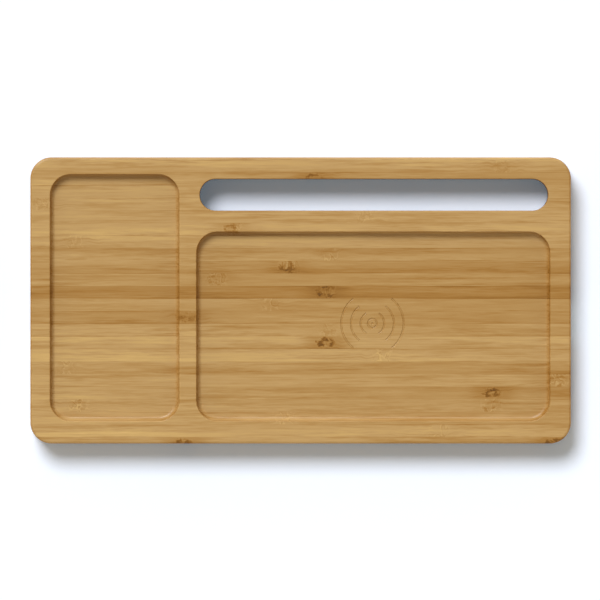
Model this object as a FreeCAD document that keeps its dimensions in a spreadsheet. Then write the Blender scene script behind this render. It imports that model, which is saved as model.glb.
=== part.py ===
import FreeCAD
import Part
import Sketcher
import math
import os

# Bamboo charging organizer: a routed board with a pen tray, a charging tray and a device slot,
# and a wireless charger in a pocket under the charging tray.
#
# Millimetres. +X is right, +Y is rear and +Z is up. The origin is the middle of the footprint on the desk.

sizes = {
    # Bamboo board
    "board_length": 270.0,
    "board_width": 143.0,
    "corner_radius": 10.6,
    "edge_round": 1.2,
    "rim_round": 0.4,
    "coil_web": 3.35,
    # Trays
    "left_rim": 9.9,
    "right_rim": 10.5,
    "front_rim": 11.3,
    "rear_rim": 8.5,
    "divider_width": 8.7,
    "pen_tray_width": 64.4,
    "tray_depth": 4.9,
    "tray_corner_radius": 10.4,
    "cove_radius": 2.3,
    # Device slot
    "slot_width": 15.8,
    "slot_rear_rim": 10.8,
    "slot_tray_gap": 10.6,
    "slot_left_inset": 1.6,
    "slot_right_inset": 0.9,
    # Engraved charging mark
    "mark_line_width": 1.0,
    "mark_line_depth": 0.28,
    "mark_dot_diameter": 1.3,
    "mark_ring_radius": 2.25,
    "mark_inner_radius": 5.9,
    "mark_radius_step": 4.85,
    "mark_inner_angle": 116.0,
    "mark_outer_angle": 104.0,
    # Feet
    "foot_diameter": 10.0,
    "foot_proud": 1.5,
    "foot_recess": 1.0,
    "foot_inset": 8.5,
    "foot_clearance": 0.2,
    "foot_edge_round": 0.9,
    # Charger pocket and its cover
    "pocket_width": 58.0,
    "pocket_coil_reach": 30.0,
    "pocket_corner_radius": 5.0,
    "seat_lip": 6.0,
    "seat_foot_wall": 1.0,
    "cover_thickness": 2.0,
    "cover_clearance": 0.25,
    "notch_width": 21.0,
    "block_thickness": 2.2,
    "block_setback": 0.4,
    "boss_height": 1.0,
    "boss_diameter": 5.0,
    "post_diameter": 5.0,
    "post_offset": 16.0,
    "label_length": 62.0,
    "label_reach": 34.0,
    "label_depth": 0.4,
    "label_corner_radius": 3.0,
    # Screws
    "screw_diameter": 1.9,
    "screw_head_diameter": 4.4,
    "screw_length": 7.0,
    "screw_tip": 1.6,
    "screw_clearance": 0.05,
    "pilot_spare": 0.5,
    "pcb_screw_diameter": 1.5,
    "pcb_screw_head_diameter": 3.4,
    "pcb_screw_head_height": 1.1,
    "pcb_screw_length": 3.2,
    "drive_width": 0.6,
    "drive_length": 2.2,
    "drive_depth": 0.7,
    # Circuit board
    "pcb_width": 40.0,
    "pcb_thickness": 1.0,
    "pcb_corner_radius": 1.5,
    "pcb_gap": 0.4,
    "pcb_hole_inset": 3.2,
    "pcb_tab_width": 18.0,
    # Power inlet
    "usb_width": 8.94,
    "usb_height": 3.26,
    "usb_wall": 0.3,
    "usb_length": 7.4,
    "usb_setback": 0.2,
    "usb_headroom": 1.0,
    "port_clearance": 0.2,
    "insulator_reach": 2.4,
    "insulator_clearance": 0.02,
    "tongue_width": 6.7,
    "tongue_thickness": 0.7,
    "tongue_length": 4.2,
    "contact_width": 0.25,
    "contact_pitch": 0.5,
    "contact_length": 3.4,
    "contact_thickness": 0.05,
    # Status light
    "pipe_diameter": 2.0,
    "pipe_offset": 7.6,
    "pipe_clearance": 0.05,
    "led_length": 1.0,
    "led_width": 2.0,
    "led_height": 1.0,
    "led_gap": 0.3,
    # Transmitter coil
    "wire_diameter": 1.1,
    "coil_pitch": 1.55,
    "coil_inner_radius": 9.0,
    "coil_left_shift": 0.35,
    "coil_rear_shift": 1.5,
    "tape_thickness": 0.2,
    "ferrite_side": 52.0,
    "ferrite_thickness": 1.5,
    "ferrite_corner_radius": 3.0,
    "lead_gap": 0.1,
    "lead_clearance": 0.15,
    "lead_window": 3.0,
    "lead_landing": 8.0,
    "lead_spread": 11.0,
    # Chips and other components
    "component_gap": 1.2,
    "controller_side": 5.0,
    "controller_height": 0.9,
    "transistor_side": 3.3,
    "transistor_height": 0.9,
    "transistor_pitch": 5.2,
    "resonant_length": 3.2,
    "resonant_width": 2.5,
    "resonant_height": 2.2,
    "resonant_pitch": 4.0,
    "filter_length": 3.2,
    "filter_width": 1.6,
    "filter_height": 1.6,
    "filter_pitch": 3.0,
    "inductor_side": 6.0,
    "inductor_height": 2.8,
    "inductor_corner_radius": 1.2,
}

# Counts
quarter_turns = 39
contacts_per_row = 12
transistor_count = 4
resonant_count = 4
filter_count = 3

# Places that follow from the sizes
places = {
    "board_bottom": "=Sizes.foot_proud",
    "cover_inside": "=Sizes.foot_proud + Sizes.cover_thickness",
    "pcb_bottom": "=cover_inside + Sizes.boss_height",
    "pcb_top": "=pcb_bottom + Sizes.pcb_thickness",
    "lead_level": "=pcb_top + Sizes.lead_gap + Sizes.wire_diameter / 2",
    "coil_stack": "=Sizes.wire_diameter + Sizes.ferrite_thickness + Sizes.tape_thickness",
    "lead_stack": "=Sizes.lead_gap + Sizes.wire_diameter + Sizes.lead_clearance",
    "pocket_ceiling": "=pcb_top + max(Sizes.usb_height + Sizes.usb_headroom; lead_stack + coil_stack)",
    "tape_bottom": "=pocket_ceiling - Sizes.tape_thickness",
    "winding_level": "=tape_bottom - Sizes.wire_diameter / 2",
    "ferrite_bottom": "=pocket_ceiling - coil_stack",
    "tray_floor": "=pocket_ceiling + Sizes.coil_web",
    "board_top": "=tray_floor + Sizes.tray_depth",
    "tray_front": "=-Sizes.board_width / 2 + Sizes.front_rim",
    "pen_tray_left": "=-Sizes.board_length / 2 + Sizes.left_rim",
    "pen_tray_reach": "=Sizes.board_width - Sizes.front_rim - Sizes.rear_rim",
    "charge_tray_left": "=pen_tray_left + Sizes.pen_tray_width + Sizes.divider_width",
    "charge_tray_width": "=Sizes.board_length / 2 - Sizes.right_rim - charge_tray_left",
    "slot_middle": "=Sizes.board_width / 2 - Sizes.slot_rear_rim - Sizes.slot_width / 2",
    "charge_tray_reach": "=slot_middle - Sizes.slot_width / 2 - Sizes.slot_tray_gap - tray_front",
    "slot_length": "=charge_tray_width - Sizes.slot_left_inset - Sizes.slot_right_inset",
    "slot_centre": "=charge_tray_left + Sizes.slot_left_inset + slot_length / 2",
    "coil_x": "=charge_tray_left + charge_tray_width / 2 - Sizes.coil_left_shift",
    "coil_y": "=tray_front + charge_tray_reach / 2 + Sizes.coil_rear_shift",
    "seat_left": "=coil_x - Sizes.pocket_coil_reach - Sizes.seat_lip",
    "foot_x": "=Sizes.board_length / 2 - Sizes.foot_inset",
    "foot_y": "=Sizes.board_width / 2 - Sizes.foot_inset",
    "seat_right": "=foot_x - Sizes.foot_diameter / 2 - Sizes.foot_clearance - Sizes.seat_foot_wall",
    "seat_front": "=coil_y - Sizes.pocket_width / 2 - Sizes.seat_lip",
    "seat_length": "=seat_right - seat_left",
    "seat_reach": "=Sizes.pocket_width + 2 * Sizes.seat_lip",
    "seat_corner": "=Sizes.pocket_corner_radius + Sizes.seat_lip",
    "pocket_right": "=seat_right - Sizes.seat_lip",
    "block_outer": "=Sizes.board_length / 2 - Sizes.block_setback",
    "block_inner": "=block_outer - Sizes.block_thickness",
    "block_front": "=coil_y - Sizes.notch_width / 2 + Sizes.cover_clearance",
    "block_width": "=Sizes.notch_width - 2 * Sizes.cover_clearance",
    "block_top": "=pocket_ceiling - Sizes.cover_clearance",
    "pcb_right": "=pocket_right - Sizes.pcb_gap",
    "component_row": "=Sizes.transistor_side + Sizes.controller_side + Sizes.inductor_side",
    "pcb_length": "=Sizes.lead_landing + component_row + 4 * Sizes.component_gap",
    "pcb_left": "=pcb_right - pcb_length",
    "bridge_x": "=pcb_left + Sizes.lead_landing + Sizes.component_gap + Sizes.transistor_side / 2",
    "controller_x": "=bridge_x + Sizes.transistor_side / 2 + Sizes.component_gap + Sizes.controller_side / 2",
    "inductor_x": "=controller_x + Sizes.controller_side / 2 + Sizes.component_gap + Sizes.inductor_side / 2",
    "component_y": "=Sizes.pcb_width / 4",
    "screw_reach": "=Sizes.pcb_hole_inset + Sizes.pcb_screw_head_diameter / 2 + Sizes.component_gap",
    "filter_y": "=Sizes.pcb_width / 2 - screw_reach - Sizes.filter_pitch - Sizes.filter_width / 2",
    "inductor_y": "=Sizes.pcb_width / 2 - screw_reach - Sizes.inductor_side / 2",
    "pcb_front": "=coil_y - Sizes.pcb_width / 2",
    "pcb_tab_end": "=block_inner - Sizes.pcb_gap",
    "usb_mouth": "=block_outer - Sizes.usb_setback",
    "usb_level": "=pcb_top + Sizes.usb_height / 2",
    "pipe_level": "=pcb_top + Sizes.pipe_diameter / 2",
    "pipe_y": "=coil_y + Sizes.pipe_offset",
}

# Distance under which two levels count as the same
touch = 1e-4

up = FreeCAD.Vector(0, 0, 1)
doc = FreeCAD.newDocument("charging_organizer")


def fill_sheet(name, entries):
    sheet = doc.addObject("Spreadsheet::Sheet", name)
    for row, (alias, content) in enumerate(entries.items(), start=1):
        sheet.set(f"A{row}", alias)
        sheet.set(f"B{row}", str(content))
        sheet.setAlias(f"B{row}", alias)
    doc.recompute()
    return sheet


size_sheet = fill_sheet("Sizes", sizes)
place_sheet = fill_sheet("Places", places)


def value(expression):
    return float(place_sheet.evalExpression(expression))


def size(alias):
    return value(f"Sizes.{alias}")


def place(alias):
    return value(f"Places.{alias}")


def new_body(label):
    body = doc.addObject("PartDesign::Body", label)
    body.Label = label
    return body


# Sketch on one of the body's own planes, moved by expressions along the sketch's own three axes
def new_sketch(body, name, role, x=None, y=None, z=None):
    sketch = body.newObject("Sketcher::SketchObject", name)
    plane = next(feature for feature in body.Origin.OriginFeatures if feature.Role == role)
    sketch.AttachmentSupport = [(plane, "")]
    sketch.MapMode = "FlatFace"
    for axis, expression in (("x", x), ("y", y), ("z", z)):
        if expression is not None:
            sketch.setExpression(f"AttachmentOffset.Base.{axis}", expression)
    return sketch


def bind(sketch, expression, kind, *where):
    index = sketch.addConstraint(Sketcher.Constraint(kind, *where, value(expression)))
    sketch.setExpression(f"Constraints[{index}]", expression)


def point(x, y):
    return FreeCAD.Vector(x, y, 0)


# Rectangle with rounded corners, its front left corner at the sketch's origin
def rounded_rectangle(sketch, width, reach, radius):
    w = value(width)
    d = value(reach)
    r = value(radius)
    sides = [((r, 0), (w - r, 0)), ((w, r), (w, d - r)), ((w - r, d), (r, d)), ((0, d - r), (0, r))]
    centres = [(w - r, r), (w - r, d - r), (r, d - r), (r, r)]
    for corner, ((start, end), centre) in enumerate(zip(sides, centres)):
        sketch.addGeometry(Part.LineSegment(point(*start), point(*end)), False)
        circle = Part.Circle(point(*centre), up, r)
        sketch.addGeometry(Part.ArcOfCircle(circle, (corner - 1) * math.pi / 2, corner * math.pi / 2), False)
    for index in range(8):
        sketch.addConstraint(Sketcher.Constraint("Tangent", index, 2, (index + 1) % 8, 1))
    for front_or_rear in (0, 4):
        sketch.addConstraint(Sketcher.Constraint("Horizontal", front_or_rear))
    for side in (2, 6):
        sketch.addConstraint(Sketcher.Constraint("Vertical", side))
    for arc in (3, 5, 7):
        sketch.addConstraint(Sketcher.Constraint("Equal", 1, arc))
    sketch.addConstraint(Sketcher.Constraint("PointOnObject", 0, 1, -1))
    sketch.addConstraint(Sketcher.Constraint("PointOnObject", 6, 1, -2))
    bind(sketch, width, "DistanceX", 6, 1, 2, 1)
    bind(sketch, reach, "DistanceY", 0, 1, 4, 1)
    bind(sketch, radius, "Radius", 1)


# Rectangle with its front left corner at the sketch's origin
def rectangle(sketch, width, reach):
    w = value(width)
    d = value(reach)
    corners = [(0, 0), (w, 0), (w, d), (0, d)]
    for index in range(4):
        line = Part.LineSegment(point(*corners[index]), point(*corners[(index + 1) % 4]))
        sketch.addGeometry(line, False)
    for index in range(4):
        sketch.addConstraint(Sketcher.Constraint("Coincident", index, 2, (index + 1) % 4, 1))
    for kind, index in (("Horizontal", 0), ("Horizontal", 2), ("Vertical", 1), ("Vertical", 3)):
        sketch.addConstraint(Sketcher.Constraint(kind, index))
    sketch.addConstraint(Sketcher.Constraint("Coincident", 0, 1, -1, 1))
    bind(sketch, width, "DistanceX", 0, 1, 0, 2)
    bind(sketch, reach, "DistanceY", 1, 1, 1, 2)


# Straight slot with round ends, its middle at the sketch's origin and its length along the sketch's x
def stadium(sketch, length, width):
    r = value(width) / 2
    a = value(length) / 2 - r
    first = sketch.GeometryCount
    right = Part.Circle(point(a, 0), up, r)
    left = Part.Circle(point(-a, 0), up, r)
    sketch.addGeometry(Part.LineSegment(point(-a, -r), point(a, -r)), False)
    sketch.addGeometry(Part.ArcOfCircle(right, -math.pi / 2, math.pi / 2), False)
    sketch.addGeometry(Part.LineSegment(point(a, r), point(-a, r)), False)
    sketch.addGeometry(Part.ArcOfCircle(left, math.pi / 2, 3 * math.pi / 2), False)
    for index in range(4):
        sketch.addConstraint(Sketcher.Constraint("Tangent", first + index, 2, first + (index + 1) % 4, 1))
    sketch.addConstraint(Sketcher.Constraint("Horizontal", first))
    sketch.addConstraint(Sketcher.Constraint("Symmetric", first + 1, 3, first + 3, 3, -1, 1))
    sketch.addConstraint(Sketcher.Constraint("PointOnObject", first + 1, 3, -1))
    bind(sketch, f"({width}) / 2", "Radius", first + 1)
    bind(sketch, f"({length}) - ({width})", "DistanceX", first + 3, 3, first + 1, 3)


def circle(sketch, x, y, diameter):
    shape = Part.Circle(point(value(x), value(y)), up, value(diameter) / 2)
    index = sketch.addGeometry(shape, False)
    bind(sketch, x, "DistanceX", -1, 1, index, 3)
    bind(sketch, y, "DistanceY", -1, 1, index, 3)
    bind(sketch, diameter, "Diameter", index)


# Closed outline of straight lines through points given as pairs of expressions
def polygon(sketch, corners):
    spots = [point(value(x), value(y)) for x, y in corners]
    count = len(spots)
    for index in range(count):
        sketch.addGeometry(Part.LineSegment(spots[index], spots[(index + 1) % count]), False)
    for index in range(count):
        sketch.addConstraint(Sketcher.Constraint("Coincident", index, 2, (index + 1) % count, 1))
    for index, (x, y) in enumerate(corners):
        bind(sketch, x, "DistanceX", -1, 1, index, 1)
        bind(sketch, y, "DistanceY", -1, 1, index, 1)


# Pad along the sketch's normal, or a pocket against it; reverse turns either round
def extrude(body, kind, sketch, length, reverse=False):
    feature = body.newObject(f"PartDesign::{kind}", f"{kind}_{sketch.Name}")
    feature.Profile = sketch
    feature.Reversed = reverse
    feature.setExpression("Length", length)
    body.Tip = feature
    doc.recompute()
    return feature


# Names of the edges that lie flat at a level, with their middle in a rectangle grown by touch
def flat_edges(shape, level, left, right, front, rear):
    names = []
    for number, edge in enumerate(shape.Edges, start=1):
        box = edge.BoundBox
        flat = abs(box.ZMin - level) < touch and abs(box.ZMax - level) < touch
        across = left - touch <= box.Center.x <= right + touch
        along = front - touch <= box.Center.y <= rear + touch
        if flat and across and along:
            names.append(f"Edge{number}")
    return names


def round_edges(body, names, radius, kind="Fillet", property_name="Radius"):
    base = body.Tip
    feature = body.newObject(f"PartDesign::{kind}", f"{kind}_{base.Name}")
    feature.Base = (base, names)
    feature.setExpression(property_name, radius)
    body.Tip = feature
    doc.recompute()
    return feature


def revolve(body, sketch):
    feature = body.newObject("PartDesign::Revolution", f"Revolution_{sketch.Name}")
    feature.Profile = sketch
    feature.ReferenceAxis = (sketch, ["V_Axis"])
    body.Tip = feature
    doc.recompute()
    return feature


def move_to(item, x, y, z):
    for axis, expression in (("x", x), ("y", y), ("z", z)):
        item.setExpression(f"Placement.Base.{axis}", expression)


# Box standing on a level, its middle over the given place
def standing_box(label, length, width, height, x, y, z):
    box = doc.addObject("Part::Box", label)
    box.Label = label
    box.setExpression("Length", length)
    box.setExpression("Width", width)
    box.setExpression("Height", height)
    move_to(box, f"({x}) - ({length}) / 2", f"({y}) - ({width}) / 2", z)
    return box


# Steps from the middle of a row to one of its members
def row_step(number, count):
    return f"({number} - ({count} - 1) / 2)"


def group(label, members):
    compound = doc.addObject("Part::Compound", label)
    compound.Label = label
    compound.Links = members
    return compound


def solid_feature(label, shape):
    feature = doc.addObject("Part::Feature", label)
    feature.Label = label
    feature.Shape = shape
    return feature


# Places of the cover's screws: three along the front lip and three along the rear lip
def cover_screw_places():
    along = ("Places.seat_left + Places.seat_corner",
             "Places.seat_left + Places.seat_length / 2",
             "Places.seat_right - Places.seat_corner")
    across = ("Places.seat_front + Sizes.seat_lip / 2",
              "Places.seat_front + Places.seat_reach - Sizes.seat_lip / 2")
    return [(x, y) for x in along for y in across]


def pcb_screw_places():
    along = ("Places.pcb_left + Sizes.pcb_hole_inset", "Places.pcb_right - Sizes.pcb_hole_inset")
    across = ("Places.pcb_front + Sizes.pcb_hole_inset",
              "Places.pcb_front + Sizes.pcb_width - Sizes.pcb_hole_inset")
    return [(x, y) for x in along for y in across]


def foot_places():
    return {
        "foot_front_left": ("-Places.foot_x", "-Places.foot_y"),
        "foot_front_right": ("Places.foot_x", "-Places.foot_y"),
        "foot_rear_left": ("-Places.foot_x", "Places.foot_y"),
        "foot_rear_right": ("Places.foot_x", "Places.foot_y"),
    }


# Bamboo board with its trays, slot and underside cuts
def make_board_blank():
    body = new_body("board_blank")
    half_length = size("board_length") / 2
    half_width = size("board_width") / 2
    outline = new_sketch(body, "outline", "XY_Plane", "-Sizes.board_length / 2", "-Sizes.board_width / 2",
                         "Places.board_bottom")
    rounded_rectangle(outline, "Sizes.board_length", "Sizes.board_width", "Sizes.corner_radius")
    extrude(body, "Pad", outline, "Places.board_top - Places.board_bottom")
    rims = [name for level in (place("board_bottom"), place("board_top"))
            for name in flat_edges(body.Shape, level, -half_length, half_length, -half_width, half_width)]
    round_edges(body, rims, "Sizes.edge_round")

    # Trays
    pen_tray = new_sketch(body, "pen_tray", "XY_Plane", "Places.pen_tray_left", "Places.tray_front",
                          "Places.board_top")
    rounded_rectangle(pen_tray, "Sizes.pen_tray_width", "Places.pen_tray_reach", "Sizes.tray_corner_radius")
    extrude(body, "Pocket", pen_tray, "Sizes.tray_depth")
    charge_tray = new_sketch(body, "charge_tray", "XY_Plane", "Places.charge_tray_left",
                             "Places.tray_front", "Places.board_top")
    rounded_rectangle(charge_tray, "Places.charge_tray_width", "Places.charge_tray_reach",
                      "Sizes.tray_corner_radius")
    extrude(body, "Pocket", charge_tray, "Sizes.tray_depth")
    floor_edges = flat_edges(body.Shape, place("tray_floor"), -half_length, half_length,
                             -half_width, half_width)
    round_edges(body, floor_edges, "Sizes.cove_radius")
    pen_right = place("pen_tray_left") + size("pen_tray_width")
    pen_rear = place("tray_front") + place("pen_tray_reach")
    charge_right = place("charge_tray_left") + place("charge_tray_width")
    charge_rear = place("tray_front") + place("charge_tray_reach")
    tray_rims = flat_edges(body.Shape, place("board_top"), place("pen_tray_left"), pen_right,
                           place("tray_front"), pen_rear)
    tray_rims += flat_edges(body.Shape, place("board_top"), place("charge_tray_left"), charge_right,
                            place("tray_front"), charge_rear)
    round_edges(body, tray_rims, "Sizes.rim_round")

    # Device slot, open at the top and at the underside
    slot = new_sketch(body, "device_slot", "XY_Plane", "Places.slot_centre", "Places.slot_middle",
                      "Places.board_top")
    stadium(slot, "Places.slot_length", "Sizes.slot_width")
    extrude(body, "Pocket", slot, "Places.board_top - Places.board_bottom")
    slot_reach = size("slot_width") / 2
    slot_rims = [name for level in (place("board_bottom"), place("board_top"))
                 for name in flat_edges(body.Shape, level, place("slot_centre") - place("slot_length") / 2,
                                        place("slot_centre") + place("slot_length") / 2,
                                        place("slot_middle") - slot_reach, place("slot_middle") + slot_reach)]
    round_edges(body, slot_rims, "Sizes.rim_round")

    # Underside: seat for the cover, pocket for the charger, notch for the port and recesses for the feet
    seat = new_sketch(body, "cover_seat", "XY_Plane", "Places.seat_left", "Places.seat_front",
                      "Places.board_bottom")
    rounded_rectangle(seat, "Places.seat_length", "Places.seat_reach", "Places.seat_corner")
    extrude(body, "Pocket", seat, "Sizes.cover_thickness", reverse=True)
    pocket = new_sketch(body, "charger_pocket", "XY_Plane", "Places.seat_left + Sizes.seat_lip",
                        "Places.seat_front + Sizes.seat_lip", "Places.board_bottom")
    rounded_rectangle(pocket, "Places.seat_length - 2 * Sizes.seat_lip", "Sizes.pocket_width",
                      "Sizes.pocket_corner_radius")
    extrude(body, "Pocket", pocket, "Places.pocket_ceiling - Places.board_bottom", reverse=True)
    notch = new_sketch(body, "port_notch", "XY_Plane", "Places.pocket_right - Sizes.seat_lip",
                       "Places.coil_y - Sizes.notch_width / 2", "Places.board_bottom")
    rectangle(notch, "Sizes.board_length / 2 - Places.pocket_right + 2 * Sizes.seat_lip", "Sizes.notch_width")
    extrude(body, "Pocket", notch, "Places.pocket_ceiling - Places.board_bottom", reverse=True)
    recesses = new_sketch(body, "foot_recesses", "XY_Plane", z="Places.board_bottom")
    for x, y in foot_places().values():
        circle(recesses, x, y, "Sizes.foot_diameter + 2 * Sizes.foot_clearance")
    extrude(body, "Pocket", recesses, "Sizes.foot_recess", reverse=True)
    pilots = new_sketch(body, "pilot_holes", "XY_Plane", z="Places.cover_inside")
    for x, y in cover_screw_places():
        circle(pilots, x, y, "Sizes.screw_diameter + 2 * Sizes.screw_clearance")
    extrude(body, "Pocket", pilots, "Sizes.screw_length - Sizes.cover_thickness + Sizes.pilot_spare",
            reverse=True)
    return body


# Radius of a round cutter that makes a line of the given width at the mark's depth
def mark_cutter(width):
    return f"((({width}) / 2)^2 + Sizes.mark_line_depth^2) / (2 * Sizes.mark_line_depth)"


def sink_into_floor(cutter, radius):
    move_to(cutter, "Places.coil_x", "Places.coil_y", f"Places.tray_floor + {radius} - Sizes.mark_line_depth")


# Round-bottomed groove on a circle, from a start angle over a sweep
def mark_groove(label, radius, start, sweep):
    tube = mark_cutter("Sizes.mark_line_width")
    groove = doc.addObject("Part::Torus", label)
    groove.setExpression("Radius1", radius)
    groove.setExpression("Radius2", tube)
    groove.setExpression("Angle3", sweep)
    groove.Placement.Rotation.Axis = up
    groove.setExpression("Placement.Rotation.Angle", start)
    sink_into_floor(groove, tube)
    return groove


# Charging mark: a dot in a ring, with three pairs of arcs opening to the left and to the right
def make_mark():
    ball = mark_cutter("Sizes.mark_dot_diameter")
    dot = doc.addObject("Part::Sphere", "mark_dot")
    dot.setExpression("Radius", ball)
    sink_into_floor(dot, ball)
    cutters = [dot, mark_groove("mark_ring", "Sizes.mark_ring_radius", "0", "360")]
    sweeps = ("Sizes.mark_inner_angle", "Sizes.mark_outer_angle", "Sizes.mark_outer_angle")
    for step, sweep in enumerate(sweeps):
        radius = f"Sizes.mark_inner_radius + {step} * Sizes.mark_radius_step"
        cutters.append(mark_groove(f"mark_right_{step}", radius, f"-{sweep} / 2", sweep))
        cutters.append(mark_groove(f"mark_left_{step}", radius, f"180 - {sweep} / 2", sweep))
    return group("charging_mark", cutters)


def make_board():
    board = doc.addObject("Part::Cut", "bamboo_board")
    board.Label = "bamboo_board"
    board.Base = make_board_blank()
    board.Tool = make_mark()
    return board


# Moulded cover with the port wall, the bosses for the circuit board and the posts under the ferrite
def make_cover():
    body = new_body("base_cover")
    plate = new_sketch(body, "cover_plate", "XY_Plane", "Places.seat_left + Sizes.cover_clearance",
                       "Places.seat_front + Sizes.cover_clearance", "Places.board_bottom")
    rounded_rectangle(plate, "Places.seat_length - 2 * Sizes.cover_clearance",
                      "Places.seat_reach - 2 * Sizes.cover_clearance",
                      "Places.seat_corner - Sizes.cover_clearance")
    extrude(body, "Pad", plate, "Sizes.cover_thickness")
    tab = new_sketch(body, "cover_tab", "XY_Plane", "Places.pocket_right", "Places.block_front",
                     "Places.board_bottom")
    rectangle(tab, "Places.block_outer - Places.pocket_right", "Places.block_width")
    extrude(body, "Pad", tab, "Sizes.cover_thickness")
    block = new_sketch(body, "port_wall", "XY_Plane", "Places.block_inner", "Places.block_front",
                       "Places.board_bottom")
    rectangle(block, "Sizes.block_thickness", "Places.block_width")
    extrude(body, "Pad", block, "Places.block_top - Places.board_bottom")
    outer_edge = flat_edges(body.Shape, place("board_bottom"), place("block_outer"), place("block_outer"),
                            place("coil_y"), place("coil_y"))
    round_edges(body, outer_edge, "Sizes.edge_round")

    bosses = new_sketch(body, "pcb_bosses", "XY_Plane", z="Places.cover_inside")
    for x, y in pcb_screw_places():
        circle(bosses, x, y, "Sizes.boss_diameter")
    extrude(body, "Pad", bosses, "Sizes.boss_height")
    posts = new_sketch(body, "ferrite_posts", "XY_Plane", z="Places.cover_inside")
    for side in ("-", "+"):
        for end in ("-", "+"):
            circle(posts, f"Places.coil_x {side} Sizes.post_offset", f"Places.coil_y {end} Sizes.post_offset",
                   "Sizes.post_diameter")
    extrude(body, "Pad", posts, "Places.ferrite_bottom - Places.cover_inside")

    # Holes in the port wall for the power inlet and the light pipe
    port = new_sketch(body, "port_hole", "YZ_Plane", "Places.coil_y", "Places.usb_level",
                      "Places.block_outer")
    stadium(port, "Sizes.usb_width + 2 * Sizes.port_clearance", "Sizes.usb_height + 2 * Sizes.port_clearance")
    extrude(body, "Pocket", port, "Sizes.block_thickness + Sizes.pcb_gap")
    pipe = new_sketch(body, "pipe_hole", "YZ_Plane", "Places.pipe_y", "Places.pipe_level",
                      "Places.block_outer")
    circle(pipe, "0", "0", "Sizes.pipe_diameter + 2 * Sizes.pipe_clearance")
    extrude(body, "Pocket", pipe, "Sizes.block_thickness + Sizes.pcb_gap")

    # Countersunk holes, boss holes and the shallow label panel
    holes = new_sketch(body, "screw_holes", "XY_Plane", z="Places.board_bottom")
    for x, y in cover_screw_places():
        circle(holes, x, y, "Sizes.screw_diameter + 2 * Sizes.screw_clearance")
    extrude(body, "Pocket", holes, "Sizes.cover_thickness", reverse=True)
    mouths = []
    for x, y in cover_screw_places():
        mouths += flat_edges(body.Shape, place("board_bottom"), value(x), value(x), value(y), value(y))
    round_edges(body, mouths, "(Sizes.screw_head_diameter - Sizes.screw_diameter) / 2", "Chamfer", "Size")
    boss_holes = new_sketch(body, "boss_holes", "XY_Plane", z="Places.pcb_bottom")
    for x, y in pcb_screw_places():
        circle(boss_holes, x, y, "Sizes.pcb_screw_diameter + 2 * Sizes.screw_clearance")
    extrude(body, "Pocket", boss_holes,
            "Sizes.pcb_screw_length - Sizes.pcb_thickness + Sizes.screw_clearance")
    label = new_sketch(body, "label_panel", "XY_Plane", "Places.coil_x - Sizes.label_length / 2",
                       "Places.coil_y - Sizes.label_reach / 2", "Places.board_bottom")
    rounded_rectangle(label, "Sizes.label_length", "Sizes.label_reach", "Sizes.label_corner_radius")
    extrude(body, "Pocket", label, "Sizes.label_depth", reverse=True)
    return body


# Cross recess for a screwdriver, cut into a screw head from a level upwards or downwards
def cut_drive(body, level, reverse):
    for name, length, width in (("drive_slot", "Sizes.drive_length", "Sizes.drive_width"),
                                ("drive_cross", "Sizes.drive_width", "Sizes.drive_length")):
        slot = new_sketch(body, f"{name}_{body.Name}", "XY_Plane", f"-({length}) / 2", f"-({width}) / 2",
                          level)
        rectangle(slot, length, width)
        extrude(body, "Pocket", slot, "Sizes.drive_depth", reverse=reverse)


def make_cover_screw(number, x, y):
    body = new_body(f"cover_screw_{number}")
    profile = new_sketch(body, f"screw_profile_{number}", "XZ_Plane")
    shank = "Sizes.screw_diameter / 2"
    head = "Sizes.screw_head_diameter / 2"
    polygon(profile, [
        ("0", "0"),
        (head, "0"),
        (shank, f"{head} - {shank}"),
        (shank, "Sizes.screw_length - Sizes.screw_tip"),
        ("0", "Sizes.screw_length"),
    ])
    revolve(body, profile)
    cut_drive(body, "0", True)
    move_to(body, x, y, "Places.board_bottom")
    return body


def make_pcb_screw(number, x, y):
    body = new_body(f"pcb_screw_{number}")
    profile = new_sketch(body, f"pcb_screw_profile_{number}", "XZ_Plane")
    shank = "Sizes.pcb_screw_diameter / 2"
    head = "Sizes.pcb_screw_head_diameter / 2"
    polygon(profile, [
        ("0", "-Sizes.pcb_screw_length"),
        (shank, "-Sizes.pcb_screw_length"),
        (shank, "0"),
        (head, "0"),
        (head, "Sizes.pcb_screw_head_height"),
        ("0", "Sizes.pcb_screw_head_height"),
    ])
    revolve(body, profile)
    cut_drive(body, "Sizes.pcb_screw_head_height", False)
    move_to(body, x, y, "Places.pcb_top")
    return body


# Silicone bumper, flat below with a rounded lower edge
def make_foot(label, x, y):
    body = new_body(label)
    profile = new_sketch(body, f"profile_{label}", "XZ_Plane")
    radius = "Sizes.foot_diameter / 2"
    height = "Sizes.foot_proud + Sizes.foot_recess"
    polygon(profile, [("0", "0"), (radius, "0"), (radius, height), ("0", height)])
    revolve(body, profile)
    lower_edge = flat_edges(body.Shape, 0, 0, 0, 0, 0)
    round_edges(body, lower_edge, "Sizes.foot_edge_round")
    move_to(body, x, y, "0")
    return body


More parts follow.
